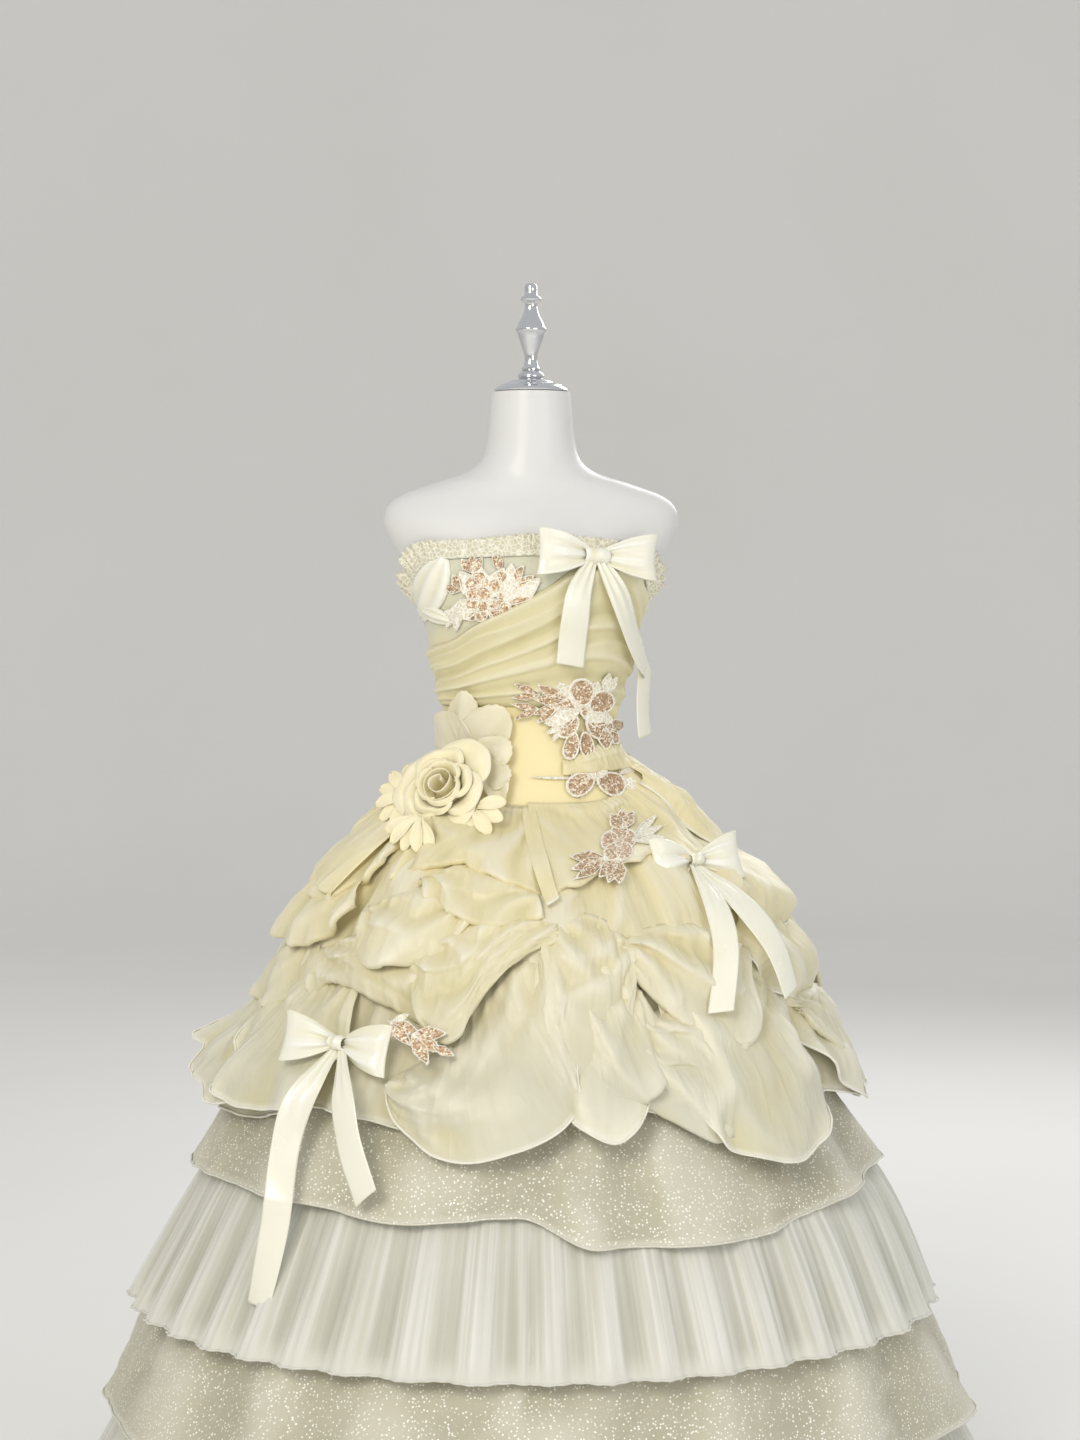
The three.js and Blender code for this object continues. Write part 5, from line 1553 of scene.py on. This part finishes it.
SIDES: tuple[Flounce, ...] = (
    Flounce(
        "organza_lobe_left_side",
        ((-118, 750, 4), (-104, 756, 6), (-90, 756, 8), (-76, 752, 8), (-64, 738, 6)),
        (
            (-118, 676, 34), (-108, 664, 56), (-98, 654, 76), (-91, 642, 72), (-84, 618, 52), (-76, 602, 38),
            (-68, 592, 32), (-60, 602, 24),
        ),
        belly=4, flutes=3, flute=6, creases=scattered(71, 6, 5.5, 8), nodes=("lobe_left_side",), seed=21,
        rows=30, columns=70, spring=1.9, ruffle=7,
    ),
    scallop("lobe_back_left", -140, 24, 830, 600, 28, 22),
    scallop("lobe_back", 170, 26, 830, 592, 28, 23),
    scallop("lobe_back_right", 124, 21, 830, 602, 26, 24),
    scallop("lobe_right_side", 83, 20, 748, 592, 20, 25),
    scallop("lobe_left_flare", -54, 19, 770, 596, 40, 26),
    scallop("ruffle_left_low", -82, 26, 818, 712, 30, 27, 1.2, folded=True),
    scallop("ruffle_left_mid", -74, 26, 890, 792, 34, 28, 1.2, folded=True),
    scallop("ruffle_left_high", -68, 24, 990, 858, 24, 29, 1.2, folded=True),
    scallop("puff_right_low", 76, 25, 842, 718, 24, 30, tucked=True),
    scallop("puff_right_mid", 80, 26, 924, 812, 26, 31, tucked=True),
    scallop("puff_right_high", 94, 28, 1030, 892, 22, 32, tucked=True),
    scallop("puff_back", -160, 44, 1010, 804, 26, 33, tucked=True),
)


@dataclass(frozen=True)
class Organza:
    """The overskirt, and the lobes, swags and puffs picked up all over it."""

    columns: int = 320
    rows: int = 56

    def ground(self) -> None:
        """The overskirt itself, gathered at its upper edge and pulled into slanting folds below."""
        u, v = square(self.rows, self.columns + 1)
        angle = mix(-180.0, 180.0, u)
        turn = np.radians(angle)
        hem = 596 + 16 * np.sin(7 * turn) + 8 * np.sin(3 * turn + 1)
        top = skirt_top(angle)
        z = mix(top, hem, v)
        below = top - z
        gathers = np.sin(44 * turn + 2.4 * drift(u * 20, v * 1.5, 61)) * np.exp(-below / 70) * 1.6
        crushed = 9.0 * crumple(u * 50 + v * 2.5, v * 3.6, 62) * ease(below / 70)
        folds = 5 * np.sin(17 * turn + 3 * v + 2.2 * drift(u * 11, v * 2, 64)) * ease(below / 160)
        relief = gathers + crushed + folds
        for row in range(6):
            lines = ((0.520 + 0.0045 * row, 0.33 + 0.055 * row), (0.534 + 0.003 * row, 0.285 + 0.05 * row))
            relief = relief + Crease(lines, 6, 3.4, 0.6, (0.2, 0.2)).relief(u, v, 2000, 370)
        seat = 1.0 + 3.0 * ease(below / 50)
        grid = skirt_point(angle, z, seat + relief * ease(below / 25))
        # relief / 8 is the fold value that sets painted shade in the hollows and a painted highlight on the
        # ridges.
        cloth = Cloth(
            "organza_overskirt", grid, ORGANZA, Held.GATHERED, ("bodice_panel_front", "petticoat_net"),
            ("overskirt",),
            np.clip(relief / 8, -1, 1), closed=True,
        )
        cloth.grid[:, -1] = cloth.grid[:, 0]
        cloth.roll_hem().make()

    def build(self) -> None:
        """Makes the overskirt and everything laid over it."""
        self.ground()
        for piece in (*FRONT, *SIDES):
            piece.build()
        chosen = {p.name.removeprefix("organza_"): p for p in FRONT}
        hidden = (
            ("swag_left", 132, True, 0), ("leaf_left", 118, False, -20), ("swag_right", 130, False, 10),
            ("swag_centre", 158, True, 0), ("leaf_left", 196, False, 0), ("swag_right", 178, True, -14),
            ("swag_low_left", 245, False, 0), ("leaf_left", 236, True, -10), ("swag_centre", 222, False, 8),
            ("leaf_right", 112, True, 4), ("leaf_right", 250, False, -6), ("tip_left", 214, False, 0),
        )
        for i, (kind, turn, flip, lift) in enumerate(hidden):
            chosen[kind].moved(f"organza_{kind}_back_{i + 1}", turn, flip, 70 + 5 * i, lift).build()


# ---------------------------------------------------------------- pieces in a frame of their own


@dataclass(frozen=True)
class Frame:
    """A flat frame on the gown: a piece in it has an across, an up and a depth."""

    origin: Array
    facing: Array
    roll: float = 0.0

    def at(self, x: Array, y: Array, depth: Array) -> Array:
        """Points given by their place in the frame."""
        out = unit(np.asarray(self.facing, float))
        across = unit(np.cross((0.0, 0.0, 1.0), out))
        up = np.cross(out, across)
        c, s = math.cos(math.radians(self.roll)), math.sin(math.radians(self.roll))
        side, rise = c * across + s * up, c * up - s * across
        x, y, depth = (np.asarray(a, float)[..., None] for a in np.broadcast_arrays(x, y, depth))
        return self.origin + x * side + y * rise + depth * out


def middle_of(node: str) -> Array:
    """The middle of a node's box, in millimetres."""
    low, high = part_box(node)
    return np.array((low + high) / 2) / MM


@dataclass(frozen=True)
class Tail:
    """A ribbon tail: its stations have x, height, lift off the gown, width and turn."""

    stations: Table
    over_skirt: bool
    cut: float = 5.0


@dataclass(frozen=True)
class Bow:
    """A satin bow: two loops, a wrapped knot and two tails."""

    name: str
    facing: tuple[float, float, float]
    roll: float
    length: float
    width: float
    knot: tuple[float, float]
    tails: tuple[Tail, Tail]
    seed: int
    path: Table = (
        (0.1, 9, 0.26), (0.3, 16, 0.55), (0.55, 21, 0.82), (0.85, 21, 0.99), (1.0, 14, 1.0), (0.92, 8, 0.99),
        (0.6, 4.8, 0.8), (0.3, 3.8, 0.5), (0.1, 3.2, 0.26),
    )
    seat: float = 8.0
    core: float = 9.0

    def loop(self, frame: Frame, side: int) -> None:
        """One loop, gathered at the knot, folded over at its outer end and back behind itself."""
        u, v = square(60, 30)
        stations = spline(self.path, np.linspace(0, 1, 60), (60, 1, 20))
        reach, depth, spread = (stations[:, k][:, None] for k in range(3))
        w = 2 * u - 1
        front = ease((0.55 - v) / 0.2)
        near = np.clip(1 - reach, 0, 1)
        pulls = 3.4 * near**0.7 * np.cos(2.2 * math.pi * w + self.seed + side) * ease(reach / 0.25)
        pulls = pulls + 1.4 * near * np.cos(5.3 * math.pi * w + 2 * self.seed)
        billow = 2.6 * np.sin(2.2 * w + 0.8 * self.seed) * ease(reach * 1.5)
        deep = depth + (pulls + billow) * (0.35 + 0.65 * front) + 3 * reach * np.abs(w) ** 2
        x = side * self.length * (reach + 0.05 * reach * w * w)
        y = self.width / 2 * spread * w + 1.5 * np.sin(3 * v + self.seed) * reach
        grid = frame.at(x, y, np.maximum(deep, 2.0 + 0 * w))
        word = "left" if side < 0 else "right"
        fold = (pulls + 0.4 * billow) / 4
        Cloth(
            f"{self.name}_ribbon_{word}", grid, SATIN, Held.FOLDED, (f"{self.name}_wrap",),
            (f"{self.name}_loop_{word}",),
            fold, wall=0.6, facing=Vector(self.facing),
        ).make()

    def wrap(self, frame: Frame) -> None:
        """The knot: a short band pulled tight round the loops."""
        u, v = square(22, 41)
        width, height = self.knot
        turn = TAU * u
        swell = 0.8 + 0.26 * np.sin(math.pi * v) ** 0.6
        ridge = 0.7 * np.sin(9 * v + 1.5 * np.sin(turn)) + 0.5 * np.sin(4 * math.pi * v + turn)
        x = (v - 0.5) * width
        y = (height / 2 * swell + ridge * 0.5) * np.cos(turn)
        depth = self.core + (12.5 * swell + ridge) * np.sin(turn)
        grid = frame.at(x, y, depth)
        grid[:, -1] = grid[:, 0]
        centre = np.array(frame.at(0, 0, self.core))
        cloth = Cloth(
            f"{self.name}_wrap", grid, SATIN, Held.FOLDED, ("bodice_panel_front",), (f"{self.name}_knot",),
            ridge,
            closed=True, wall=0.6,
        )
        made = cloth.make()
        self.turn_out(made, centre)

    @staticmethod
    def turn_out(made: bpy.types.Object, centre: Array) -> None:
        """Points a closed band's faces away from its own middle."""
        mesh = made.data
        towards = sum((p.center - Vector(centre * MM)).dot(p.normal) * p.area for p in mesh.polygons)
        if towards < 0:
            mesh.flip_normals()

    def tail(self, tail: Tail, number: int) -> None:
        """One tail, narrow where it leaves the knot and cut on a slant."""
        u, v = square(60, 16)
        share = np.linspace(0, 1, 60)
        stations = spline(tail.stations, share, (1, 1, 1, 0.2, 0))
        surface = skirt_point if tail.over_skirt else body_point
        line = front_point(stations[:, 0], stations[:, 1], stations[:, 2], surface)
        run = unit(np.gradient(line, axis=0))
        outward = unit(unit(line * (1, 1, 0)) + 1.4 * np.array(self.facing))
        across = unit(np.cross(run, outward))
        twist = np.radians(stations[:, 4])[:, None]
        across = across * np.cos(twist) + np.cross(run, across) * np.sin(twist)
        w = (2 * u - 1)[..., None]
        width = stations[:, 3][:, None, None] / 2
        grid = line[:, None, :] + across[:, None, :] * w * width
        near = ease(1 - share / 0.45)[:, None]
        pulls = 1.8 * near * np.cos(
            2.4 * math.pi * (2 * u - 1) + self.seed
        ) + 0.8 * np.cos(4 * v * math.pi + self.seed) * u
        cup = 1.6 * (1 - (2 * u - 1) ** 2)
        grid = grid + outward[:, None, :] * (pulls + cup)[..., None]
        grid = grid + run[:, None, :] * (tail.cut * (2 * u - 1) * ease((v - 0.9) / 0.1))[..., None]
        Cloth(
            f"{self.name}_end_{number}", grid, SATIN, Held.HUNG, (f"{self.name}_wrap",),
            (f"{self.name}_tail_{number}",),
            pulls / 2.5, wall=0.6,
        ).make()

    def build(self) -> None:
        """Makes the bow where its knot sits."""
        out = np.array(Vector(self.facing).normalized())
        frame = Frame(middle_of(f"{self.name}_knot") - self.seat * out, np.array(self.facing), self.roll)
        self.wrap(frame)
        for side in (-1, 1):
            self.loop(frame, side)
        for i, tail in enumerate(self.tails):
            self.tail(tail, i + 1)


BOWS: tuple[Bow, ...] = (
    Bow(
        "bow_bust", (0.3, -0.95, 0.06), -3, 78, 60, (34, 20),
        (
            Tail(((76, 1286, 13, 14, 0), (58, 1244, 17, 34, 0), (52, 1200, 15, 39, 0), (47, 1148, 14, 39, 0)),
            False, -3),
            Tail(
                ((86, 1286, 13, 14, 0), (104, 1240, 18, 32, -6), (119, 1180, 20, 34, -12),
                (131, 1120, 30, 34, -12), (138, 1052, 40, 34, -10)),
                False, 1,
            ),
        ),
        1,
    ),
    Bow(
        "bow_right", (0.5, -0.8, 0.3), 2, 66, 62, (20, 17),
        (
            Tail(((201, 893, 10, 12, 0), (214, 850, 26, 30, 30), (218, 800, 38, 32, 50),
            (211, 724, 40, 32, 44)), True, 3),
            Tail(((206, 893, 10, 12, 0), (240, 850, 32, 36, 0), (270, 800, 44, 38, 0),
            (292, 735, 46, 38, -10)), True, 6),
        ),
        2,
    ),
    Bow(
        "bow_left", (-0.45, -0.86, 0.2), -4, 74, 64, (20, 18),
        (
            Tail(
                ((-219, 681, 34, 12, 0), (-250, 622, 50, 36, -34), (-270, 560, 46, 36, -46),
                (-284, 470, 42, 36, -20), (-296, 372, 54, 38, 6)),
                True, 2,
            ),
            Tail(((-213, 681, 34, 12, 0), (-202, 630, 50, 36, 8), (-196, 580, 48, 38, 8),
            (-182, 515, 36, 38, 8)), True, 5),
        ),
        3,
    ),
)


# ---------------------------------------------------------------- rose


@dataclass(frozen=True)
class Rose:
    """A cloth rose with a rolled heart, cupped petals and three sprays of narrow petals."""

    facing: tuple[float, float, float] = (-0.36, -0.8, 0.46)
    seat: float = 20.0
    # turn, inner radius, outer radius, span, rise; each row in turn stands for the next rose_petal node
    petals: Table = (
        (250, 20, 44, 130, 24), (20, 20, 42, 116, 24), (135, 20, 44, 112, 24), (290, 24, 64, 118, 13),
        (60, 24, 74, 104, 13), (180, 24, 72, 110, 13),
    )
    extra: Table = (
        (310, 16, 33, 150, 30), (80, 16, 34, 150, 30), (195, 16, 33, 150, 31), (345, 22, 56, 110, 18),
        (110, 22, 58, 110, 19), (222, 22, 57, 110, 18)
    )
    # node, turn, distance out, turns of the petals from there, length, half width, height
    sprays: tuple[tuple[str, float, float, tuple[float, ...], float, float, float], ...] = (
        ("spray_left", 192, 50, (-84, -54, -26, 2, 30, 58), 50, 9, 4),
        ("spray_low", 256, 52, (-50, -26, -2, 22, 46), 50, 9, 36),
        ("spray_right", 330, 50, (-44, -16, 14, 44), 46, 10, 5),
    )

    def frame(self) -> Frame:
        """The rose's frame, from the middle of its heart."""
        out = np.array(Vector(self.facing).normalized())
        return Frame(middle_of("rose_heart") - self.seat * out, np.array(self.facing))

    def heart(self, frame: Frame) -> None:
        """One strip rolled up in a spiral."""
        u, v = square(10, 150)
        turn = 2.2 * TAU * u
        radius = mix(3.0, 25.0, u**0.9) + 2.2 * (1 - v) ** 2 + 0.8 * np.sin(1.9 * turn)
        rim = mix(40.0, 29.0, u) + 1.6 * np.sin(2.3 * turn)
        depth = mix(rim, 3.0, v)
        grid = frame.at(radius * np.cos(turn), radius * np.sin(turn), depth)
        # The fold value 0.8 * (1 - v) ** 4 paints a highlight along the strip's outer edge.
        Cloth(
            "rose_centre", grid, ROSE_CLOTH, Held.FOLDED, ("organza_overskirt",), ("rose_heart",),
            0.8 * (1 - v) ** 4,
            wall=0.7, facing=Vector(self.facing),
        ).make()

    def petal(
        self, frame: Frame, name: str, row: tuple[float, ...], seed: int, nodes: tuple[str, ...]
    ) -> None:
        """A cupped petal that curls at its lip."""
        turn, inner, outer, span, rise = row
        u, v = square(20, 36)
        w = 2 * u - 1
        angle = np.radians(turn + span / 2 * w * (0.8 + 0.2 * v))
        lip = ease((v - 0.72) / 0.28)
        uneven = drift(u * 5, v * 2, seed)
        radius = mix(inner, outer, v) * (1 - 0.3 * np.abs(w) ** 3 * v) + 2.4 * uneven * v
        depth = rise * np.sin(0.6 * math.pi * v) + 4 - 5.5 * lip**1.5 * (1 - 0.4 * w * w) + 1.8 * uneven * v
        crease = 1.2 * np.cos(7 * w + seed) * (1 - v) * v * 4
        grid = frame.at(radius * np.cos(angle), radius * np.sin(angle), depth + crease)
        # Fold values: painted shade and highlight along the creases, and a painted highlight on the curled
        # lip.
        Cloth(
            name, grid, ROSE_CLOTH, Held.FOLDED, ("organza_overskirt",), nodes, crease * 0.5 + 0.9 * lip,
            wall=0.6,
            facing=Vector(self.facing),
        ).make()

    def blade(
        self, frame: Frame, name: str, root: Array, turn: float, length: float, half: float, seed: int,
        nodes: tuple[str, ...], base: float,
    ) -> None:
        """A narrow petal with a round tip, slightly cupped and arched."""
        u, v = square(24, 16)
        w, v = 2 * u - 1, 1 - (1 - v) ** 1.8
        width = half * np.where(
            v < 0.66, 0.3 + 0.7 * ease(v / 0.66), np.sqrt(1 - ((np.maximum(v, 0.66) - 0.66) / 0.345) ** 2)
        )
        along = np.array([math.cos(math.radians(turn)), math.sin(math.radians(turn))])
        side = np.array([-along[1], along[0]])
        x = root[0] + along[0] * length * v + side[0] * width * w
        y = root[1] + along[1] * length * v + side[1] * width * w
        arch = 7 * np.sin(math.pi * v) + 3.2 * w * w * v - 3 * v
        ridge = 1.2 * np.exp(-((w / 0.18) ** 2)) * (1 - v) + 0.9 * drift(u * 3, v * 4, seed)
        grid = frame.at(x, y, base + arch + ridge)
        Cloth(
            name, grid, ROSE_CLOTH, Held.FOLDED, ("organza_overskirt",), nodes, ridge * 0.6, wall=0.8,
            facing=Vector(self.facing),
        ).make()

    def veil(self) -> None:
        """Scalloped organza petals that fan out behind the rose over the waist."""
        petals = (
            ((-86, 1044), (-78, 1114), 20, 1), ((-74, 1030), (-32, 1094), 30, 3),
            ((-84, 1022), (-106, 1086), 26, 2),
            ((-48, 1044), (-34, 972), 17, 8), ((-64, 1018), (-24, 1050), 22, 6),
            ((-60, 1002), (-22, 1012), 20, 10),
        )
        for i, (foot, tip, half, lift) in enumerate(petals):
            u, v = square(24, 32)
            w = 2 * u - 1
            foot_at, run, side = along_line(foot, tip)
            width = half * np.sin(math.pi * (0.12 + 0.62 * v)) ** 0.8
            ragged = 1.8 * np.abs(np.sin(2.6 * math.pi * w + i)) * ease((v - 0.7) / 0.3)
            reach = v * (1 - 0.22 * w * w) + ragged / np.hypot(*run) * v
            x = foot_at[0] + run[0] * reach + side[0] * width * w
            z = foot_at[1] + run[1] * reach + side[1] * width * w
            relief = 2.2 * np.cos(4 * w + i) * v + 1.4 * drift(u * 5, v * 3, 90 + i)
            grid = front_point(x, z, lift + 5 + 9 * v * (1 - 0.4 * v) + relief)
            Cloth(
                f"rose_veil_{i + 1}", grid, PETAL_ORGANZA, Held.FOLDED, ("organza_overskirt",), (),
                relief / 3, wall=0.5
            ).make()

    def build(self) -> None:
        """Makes the rose."""
        frame = self.frame()
        self.heart(frame)
        for i, row in enumerate(self.petals):
            self.petal(frame, f"rose_leaf_{i + 1}", row, 30 + i, (f"rose_petal_{i + 1}",))
        for i, row in enumerate(self.extra):
            self.petal(frame, f"rose_leaf_{i + 7}", row, 40 + i, ())
        for name, at, reach, fan, length, half, base in self.sprays:
            root = reach * np.array([math.cos(math.radians(at)), math.sin(math.radians(at))])
            for i, turn in enumerate(fan):
                node = (name,) if i == 0 else ()
                self.blade(
                    frame, f"{name}_petal_{i + 1}", root, at + turn, length, half, 60 + i, node,
                    base + i % 2 * 2
                )
        self.veil()


# ---------------------------------------------------------------- embroidery


@dataclass(frozen=True)
class Motif:
    """A petal or leaf of an applique: its foot, its direction, its length and its half width."""

    x: float
    z: float
    turn: float
    length: float
    half: float
    pointed: bool = False
    sequined: bool = True

    def place(self, reach: float, angle: float) -> tuple[float, float]:
        """A point of it, given how far out from its middle and which way."""
        c, s = math.cos(math.radians(self.turn)), math.sin(math.radians(self.turn))
        a, b = reach * math.cos(angle), reach * math.sin(angle)
        taper = 1 - 0.6 * abs(a) if self.pointed else 1 + 0.2 * a
        along, side = self.length / 2 * (a + 1), self.half * b * taper
        return self.x + along * c - side * s, self.z + along * s + side * c


@dataclass(frozen=True)
class Applique:
    """An embroidered spray: corded petals and leaves filled with sequins, and loose clear beads."""

    name: str
    nodes: tuple[str, ...]
    lift: float
    motifs: tuple[Motif, ...]
    beads: int
    seed: int
    # Share of the way out, height over the cloth, and whether the faces inside it are sequins.
    rings: Table = ((0.95, 2.0, 0), (0.89, 2.0, 0), (0.83, 1.1, 1), (0.45, 1.7, 1))

    def stitch(self, made: bmesh.types.BMesh, motif: Motif, step: float) -> None:
        """Adds one petal: a disc with a raised cord round it and a padded middle."""
        disc = bmesh.ops.create_circle(made, segments=20, radius=1.0, cap_ends=True)
        face = next(f for v in disc["verts"] for f in v.link_faces)
        rings = [(list(disc["verts"]), 1.0, 0.2)]
        for radius, height, filled in self.rings:
            bmesh.ops.inset_individual(made, faces=[face], thickness=0.01, use_even_offset=False)
            rings.append((list(face.verts), radius, height))
            face.material_index = int(filled and motif.sequined)
        centre = bmesh.ops.poke(made, faces=[face])["verts"]
        spots, heights, verts = [], [], []
        for ring, radius, height in [*rings, (centre, 0.0, 1.9)]:
            for vertex in ring:
                spots.append(motif.place(radius, math.atan2(vertex.co.y, vertex.co.x)))
                heights.append(height + step)
                verts.append(vertex)
        across, up = np.array(spots).T
        for vertex, place in zip(verts, front_point(across, up, self.lift + np.array(heights))):
            vertex.co = Vector(place * MM)

    def sew_beads(self, made: bmesh.types.BMesh) -> None:
        """Adds clear beads over and round the motifs."""
        rng = np.random.default_rng(self.seed)
        areas = np.array([m.length * m.half for m in self.motifs])
        chosen = [self.motifs[i] for i in rng.choice(len(areas), self.beads, p=areas / areas.sum())]
        spots = [m.place(math.sqrt(rng.uniform(0.1, 1.3)), rng.uniform(0, TAU)) for m in chosen]
        across, up = np.array(spots).T
        for place in front_point(across, up, np.full(len(spots), self.lift + 2.2)):
            turn = Vector(place * (1, 1, 0)).to_track_quat("Z", "Y").to_matrix().to_4x4()
            matrix = Matrix.Translation(Vector(place * MM)) @ turn @ Matrix.Diagonal((1, 1, 0.6, 1))
            radius = rng.uniform(0.8, 1.3) * MM
            bead = bmesh.ops.create_icosphere(made, subdivisions=1, radius=radius, matrix=matrix)
            for vertex in bead["verts"]:
                for face in vertex.link_faces:
                    face.material_index = 2

    def build(self) -> None:
        """Makes the applique."""
        made = bmesh.new()
        for i, motif in enumerate(self.motifs):
            self.stitch(made, motif, 0.18 * (i % 6))
        bmesh.ops.recalc_face_normals(made, faces=made.faces)
        self.sew_beads(made)
        piece = link(self.name, made)
        finish(piece, THREAD, self.nodes)
        for look in (SEQUIN, CRYSTAL):
            piece.data.materials.append(look.material())


def bloom(x: float, z: float, petals: int, length: float, half: float, turn: float) -> tuple[Motif, ...]:
    """Round petals about a middle, with a small round boss on it."""
    boss = Motif(x - half * 0.45, z, 0, half * 0.9, half * 0.45)
    return (*(Motif(x, z, turn + 360 * i / petals, length, half) for i in range(petals)), boss)


def leaves(
    x: float, z: float, turns: Sequence[float], length: float, half: float, sequined: bool = True
) -> tuple[Motif, ...]:
    """Pointed leaves from one foot."""
    return tuple(Motif(x, z, turn, length, half, True, sequined) for turn in turns)


APPLIQUES: tuple[Applique, ...] = (
    Applique(
        "embroidery_bust", ("applique_bust",), 0.6,
        (
            *leaves(-60, 1230, (100, 128, 60, 200), 52, 15, False),
            *leaves(-30, 1226, (40, 84, 180), 56, 14, False),
            *bloom(-66, 1250, 5, 21, 9.5, 18), *leaves(-74, 1268, (92, 60, 128), 24, 7),
            *bloom(-69, 1220, 4, 17, 8.5, 40),
            *bloom(-35, 1252, 4, 20, 9, 0), *leaves(-36, 1238, (34, 56), 50, 10),
            *leaves(-30, 1230, (12,), 34, 9),
            *bloom(-40, 1222, 5, 16, 7.5, 10), *leaves(-50, 1214, (-12,), 22, 6.5),
            *leaves(-88, 1246, (168, 120), 24, 8),
            *leaves(-92, 1222, (205, 236, 262), 30, 6, False), *leaves(-38, 1270, (96, 118), 24, 4.5),
        ),
        170, 1,
    ),
    Applique(
        "embroidery_waist", ("applique_waist",), 4.4,
        (
            *leaves(60, 1088, (56, 124, -18, 200), 46, 15, False), Motif(66, 1094, 98, 38, 16),
            Motif(72, 1090, 30, 36, 15),
            Motif(70, 1080, -38, 38, 16), Motif(58, 1082, 222, 36, 15), Motif(56, 1092, 152, 34, 14),
            Motif(60, 1088, 0, 12, 6),
            *leaves(44, 1102, (150, 176), 42, 8), *leaves(40, 1096, (196, 214), 40, 7),
            *leaves(12, 1110, (156, 186), 36, 5.5),
            *leaves(10, 1092, (170, 204), 34, 5), *leaves(92, 1066, (-50, -84, 4), 30, 10),
            Motif(54, 1062, 258, 38, 10),
            Motif(66, 1062, 280, 36, 9), *leaves(40, 1070, (206, 236), 24, 5, False),
            *leaves(92, 1112, (50, 76), 26, 7, False),
        ),
        230, 2,
    ),
    Applique(
        "embroidery_hip", ("applique_hip",), 2.0,
        (
            Motif(82, 1002, 204, 40, 15), Motif(84, 1002, -24, 42, 15),
            Motif(82, 1000, 118, 20, 8, False, False),
            Motif(84, 1000, 62, 20, 8, False, False), *leaves(114, 1004, (24, 44), 38, 5, False),
            *leaves(116, 998, (-12, -34), 28, 5, False),
            *leaves(64, 1001, (178,), 66, 2.0, False),
        ),
        110, 3,
    ),
    Applique(
        "embroidery_panel", (), 25,
        (
            *bloom(98, 924, 5, 21, 10, 20), *leaves(86, 908, (176, 196, 212), 42, 8),
            *leaves(98, 908, (226, 250, 276), 30, 9),
            *leaves(112, 926, (22, 44, 2), 40, 5.5, False), *leaves(100, 938, (60, 96, 128), 24, 8),
        ),
        120, 4,
    ),
    Applique(
        "embroidery_low", (), 47,
        (
            *leaves(-150, 718, (-22, -50), 36, 8), *leaves(-126, 704, (-30, 4, -62), 38, 9),
            *leaves(-104, 692, (-24,), 26, 6),
            *leaves(-148, 716, (30,), 22, 5, False),
        ),
        70, 5,
    ),
)


# ---------------------------------------------------------------- stage


@dataclass(frozen=True)
class Studio:
    """A pale floor, soft lamps and the camera."""

    floor: str = "#f0efec"
    air: str = "#e2e3e4"
    lens: float = 75.2
    eye: tuple[float, float, float] = (0.012, -4.0, 1.233)
    tilt: float = 2.28

    def camera(self) -> None:
        """Makes the camera, level with the bust and tipped slightly down."""
        data = bpy.data.cameras.new("eye")
        data.lens, data.sensor_width = self.lens, 36.0
        data.clip_end = 200.0
        made = bpy.data.objects.new("eye", data)
        made.location = self.eye
        made.rotation_euler = (math.radians(90 - self.tilt), 0.0, 0.0)
        bpy.context.collection.objects.link(made)
        bpy.context.scene.camera = made

    def lamp(
        self, name: str, place: tuple[float, float, float], power: float, size: float, tint: str
    ) -> None:
        """One square soft lamp aimed at the gown."""
        data = bpy.data.lights.new(name, "AREA")
        data.shape, data.size, data.energy = "SQUARE", size, power
        data.color = colour(tint)[:3]
        made = bpy.data.objects.new(name, data)
        made.location = place
        aim = Vector((0.0, 0.0, 0.85)) - Vector(place)
        made.rotation_euler = aim.to_track_quat("-Z", "Y").to_euler()
        bpy.context.collection.objects.link(made)

    def build(self) -> None:
        """Makes the floor, which curves up into a wall all round, the lamps and the room's light."""
        bend = [(7.4 + 2 * math.sin(t), 2 - 2 * math.cos(t)) for t in np.linspace(0, math.pi / 2, 13)]
        floor = link("floor", spun(((0.0, 0.0), (3.0, 0.0), *bend, (9.4, 4.4)), 96))
        look = Smooth("studio_floor_paper", "", self.floor, 0.85, mark="#eae9e5", mark_share=0.5, grain=1.0)
        floor.data.materials.append(look.material())
        self.lamp("key", (-1.7, -4.4, 3.2), 104.0, 1.9, "#fff8ec")
        self.lamp("fill", (2.6, -3.8, 1.5), 34.0, 2.4, "#fbfbff")
        self.lamp("rim", (1.6, 3.4, 3.0), 46.0, 2.0, "#ffffff")
        world = bpy.data.worlds.new("room")
        world.use_nodes = True
        ground = world.node_tree.nodes["Background"]
        ground.inputs["Color"].default_value = colour(self.air)
        ground.inputs["Strength"].default_value = 0.8
        bpy.context.scene.world = world
        bpy.context.scene.view_settings.view_transform = "Standard"


def main() -> None:
    """Builds the gown, the form and the studio."""
    logging.basicConfig(level=logging.INFO, format="%(message)s")
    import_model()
    studio = Studio()
    studio.camera()
    studio.build()
    DisplayForm().build()
    Bodice().build()
    Skirt().build()
    Organza().build()
    Rose().build()
    for bow in BOWS:
        bow.build()
    for design in APPLIQUES:
        design.build()


if __name__ == "__main__":
    main()
